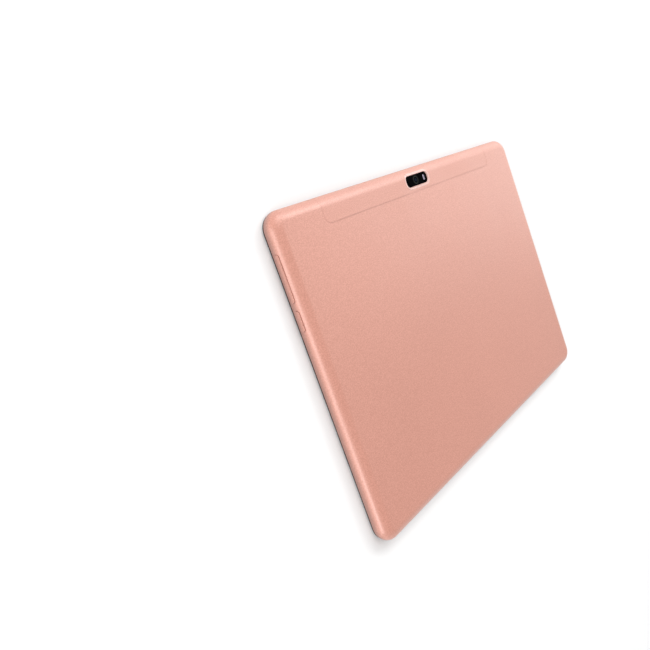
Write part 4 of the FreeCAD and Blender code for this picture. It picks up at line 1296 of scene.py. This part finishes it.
@dataclass
class Electronics:
    """Small parts that crowd the free areas of the main board.

    Attributes:
        shelf: All materials.
        density: Small parts per square metre.
        seed: Seed of the scatter.
        part_length: Length of a small part, in metres.
        spacing: Least distance between two small parts.
        margin: Distance kept from the larger parts.
        jack_gap: Distance kept behind the headphone socket.
        front_row: Low and high distance of the front row before the processor's shield.
    """

    shelf: FinishShelf
    density: float = 160000.0
    seed: int = 7
    part_length: float = 1.0 * MM
    spacing: float = 1.5 * MM
    margin: float = 0.9 * MM
    jack_gap: float = 1.35 * MM
    front_row: Pair = (2.1 * MM, 0.95 * MM)

    def gap(self, left: str, right: str) -> Area:
        """Free area between two nodes, as deep as the left one.

        Args:
            left: CAD node on the low side along X.
            right: CAD node on the high side along X.

        Returns:
            Low and high X, then low and high Y, in metres.
        """
        low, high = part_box(left)
        return (high[0] + self.margin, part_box(right)[0][0] - self.margin, low[1], high[1])

    def areas(self) -> list[Area]:
        """Free areas of the board between its larger parts and along its front edge."""
        neighbours = [
            ("processor_shield", "storage_chip"),
            ("power_chip", "sim_slot_one"),
            ("sim_slot_one", "sim_slot_two"),
            ("sim_slot_two", "microsd_slot"),
            ("radio_shield", "headphone_jack"),
        ]
        found = [self.gap(left, right) for left, right in neighbours]
        jack, usb, lead = (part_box(node) for node in ("headphone_jack", "usb_port", "battery_lead"))
        found.append((jack[0][0], usb[0][0] - self.margin, jack[1][1] + self.jack_gap, usb[1][1]))
        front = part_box("processor_shield")[0][1]
        row = (front - self.front_row[0], front - self.front_row[1])
        found.append((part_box("main_board")[0][0] + self.margin, lead[0][0] - self.margin, *row))
        found.append((lead[1][0] + self.margin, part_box("radio_shield")[1][0], *row))
        return found

    def build(self) -> Piece:
        """Scatter small parts over the free areas with a node tree."""
        tree = GrowthTree("small_parts")
        density = tree.size("Density", self.density)
        length = tree.size("Part Length", self.part_length)
        draw = tree.whole("Seed", self.seed)
        scatter = tree.node("GeometryNodeDistributePointsOnFaces", distribute_method="POISSON")
        tree.feed(scatter, Mesh=tree.seed, Density_Max=density, Seed=draw, Distance_Min=self.spacing)
        height = tree.math("MULTIPLY", length, 0.5)
        part = tree.block(length, height, height)
        raised = tree.moved(part, tree.vector(z=tree.math("MULTIPLY", height, 0.5)))
        whole = tree.on_points(scatter.outputs["Points"], raised)
        seed = seed_quads(self.areas(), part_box("main_board")[1][2], "board_areas")
        piece = tree.grow(seed, whole, self.shelf.materials["chip_resin"], "board_small_parts")
        return self.shelf.dress(piece, "chip_resin", Body.TABLET)


# Studio


@dataclass(frozen=True)
class SoftPanel:
    """A soft light panel that faces the tablet from a given direction.

    Attributes:
        name: Name.
        azimuth: Direction seen from above, in degrees from +X towards +Y.
        elevation: Height above the floor, in degrees.
        distance: Distance from the tablet, in metres.
        size: Width and height, in metres.
        radiance: Brightness of its face, where 1 is as bright as white paper.
    """

    name: str
    azimuth: float
    elevation: float
    distance: float
    size: Pair
    radiance: float

    @property
    def place(self) -> Vector:
        """Centre of the panel, in metres."""
        turn, rise = math.radians(self.azimuth), math.radians(self.elevation)
        flat = math.cos(rise)
        return Vector((flat * math.cos(turn), flat * math.sin(turn), math.sin(rise))) * self.distance

    def build(self) -> Piece:
        """Make the light."""
        data = bpy.data.lights.new(self.name, "AREA")
        data.shape = "RECTANGLE"
        data.size, data.size_y = self.size
        data.energy = self.radiance * math.pi * self.size[0] * self.size[1]
        lamp = in_scene(self.name, data)
        lamp.location = self.place
        lamp.rotation_euler = (-self.place).to_track_quat("-Z", "Y").to_euler()
        return lamp


BANK_DISTANCE = 2.0
BANK_SIZE: Pair = (0.8, 0.55)
# Brightness of the far bank's panels, by elevation and then by azimuth in degrees.
FAR_BANK = {
    14: {5: 1.9, 35: 1.9},
    36: {5: 2.2, 35: 7.1, 70: 5.6},
    50: {-15: 0.6},
}
OTHER_PANELS = (
    SoftPanel("back_high", 90, 63, 2.0, (0.8, 0.8), 1.7),
    SoftPanel("back_low", 90, 40, 2.0, (1.6, 0.7), 1.95),
    SoftPanel("edge_strip", 194, 22, 1.5, (2.0, 0.22), 9.8),
)


@dataclass
class Studio:
    """Pale floor, soft lights and the camera.

    Attributes:
        eye: Camera place, in metres.
        forward: Direction of view.
        up: Up direction of the image.
        lens: Focal length, in millimetres.
        sensor: Width of the sensor, in millimetres.
        shift_y: Vertical lens shift.
        clip: Nearest and furthest distance that the camera sees, in metres.
        floor_radius: Radius of the round floor, in metres.
        floor_sides: Sides of the round floor.
        horizon: Brightness of the pale walls round the floor.
        dome: Brightness of the room above the walls.
        wall_top: Sines of the elevations where the walls start and end their fade into the dome.
    """

    eye: Triple = (-0.3182, 0.0732, 0.2194)
    forward: Triple = (0.705, -0.118, -0.699)
    up: Triple = (0.318, 0.934, 0.163)
    lens: float = 35.28
    sensor: float = 36.0
    shift_y: float = -0.0385
    clip: Pair = (0.01, 50.0)
    floor_radius: float = 0.95
    floor_sides: int = 128
    horizon: float = 1.02
    dome: float = 0.445
    wall_top: Pair = (0.24, 0.42)

    def build(self) -> None:
        """Make the whole studio."""
        self.floor()
        self.world()
        self.camera()
        bank = [
            SoftPanel(f"far_bank_{rise}_{azimuth}", azimuth, rise, BANK_DISTANCE, BANK_SIZE, radiance)
            for rise, row in FAR_BANK.items()
            for azimuth, radiance in row.items()
        ]
        panels = [*bank, *OTHER_PANELS]
        for panel in panels:
            panel.build()
        LOG.info("studio: %d light panels", len(panels))

    def floor(self) -> None:
        """Make the pale floor."""
        work = bmesh.new()
        bmesh.ops.create_circle(work, cap_ends=True, segments=self.floor_sides, radius=self.floor_radius)
        mesh = bpy.data.meshes.new("studio_floor")
        work.to_mesh(mesh)
        work.free()
        floor = in_scene("studio_floor", mesh)
        floor.data.materials.append(FLOOR_PAPER.build())
        floor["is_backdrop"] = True

    def world(self) -> None:
        """Make the surrounding light: pale walls that fade into a dimmer room above."""
        world = bpy.data.worlds.new("studio_world")
        world.use_nodes = True
        sheet = NodeSheet(world.node_tree)
        rise = sheet.axes(sheet.node("ShaderNodeTexCoord").outputs["Generated"])["Z"]
        strength = sheet.spread(rise, self.horizon, self.dome, self.wall_top)
        sheet.feed(world.node_tree.nodes["Background"], Color=WHITE, Strength=strength)
        bpy.context.scene.world = world

    def camera(self) -> None:
        """Make the camera."""
        data = bpy.data.cameras.new("camera")
        data.lens = self.lens
        data.sensor_width = self.sensor
        data.shift_y = self.shift_y
        data.clip_start, data.clip_end = self.clip
        camera = in_scene("camera", data)
        back = -Vector(self.forward).normalized()
        right = Vector(self.up).cross(back).normalized()
        upward = back.cross(right).normalized()
        turn = Matrix((right, upward, back)).transposed().to_4x4()
        camera.matrix_world = Matrix.Translation(Vector(self.eye)) @ turn
        bpy.context.scene.camera = camera


def write_sizes(before: Sequence[Sequence[float]]) -> None:
    """Work out the box of the solids and the box of the finished pieces; nothing is written.

    Args:
        before: Lowest and highest corner straight after loading.
    """
    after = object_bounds()
    sizes = {
        "cad": [[float(value) for value in corner] for corner in before],
        "visual": [[float(value) for value in corner] for corner in after],
    }


def main() -> None:
    """Build and dress the tablet, then the studio."""
    logging.basicConfig(level=logging.INFO, format="%(message)s")
    start_box = [tuple(corner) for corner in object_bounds()]
    shelf = FinishShelf()
    shelf.dress_frame()
    low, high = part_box("rear_cover")
    form = RolledForm((high[0] - low[0]) / 2, (high[1] - low[1]) / 2, high[2])
    MetalBack(form, shelf).build()
    CameraStrip(form, shelf).build()
    SideKeys(form, shelf).build()
    ScreenSide(shelf).build()
    Fasteners(shelf).build()
    SoundOpenings(shelf).build()
    Sockets(shelf).build()
    Electronics(shelf).build()
    Studio().build()
    bpy.context.scene.view_settings.view_transform = "Standard"
    write_sizes(start_box)


if __name__ == "__main__":
    main()
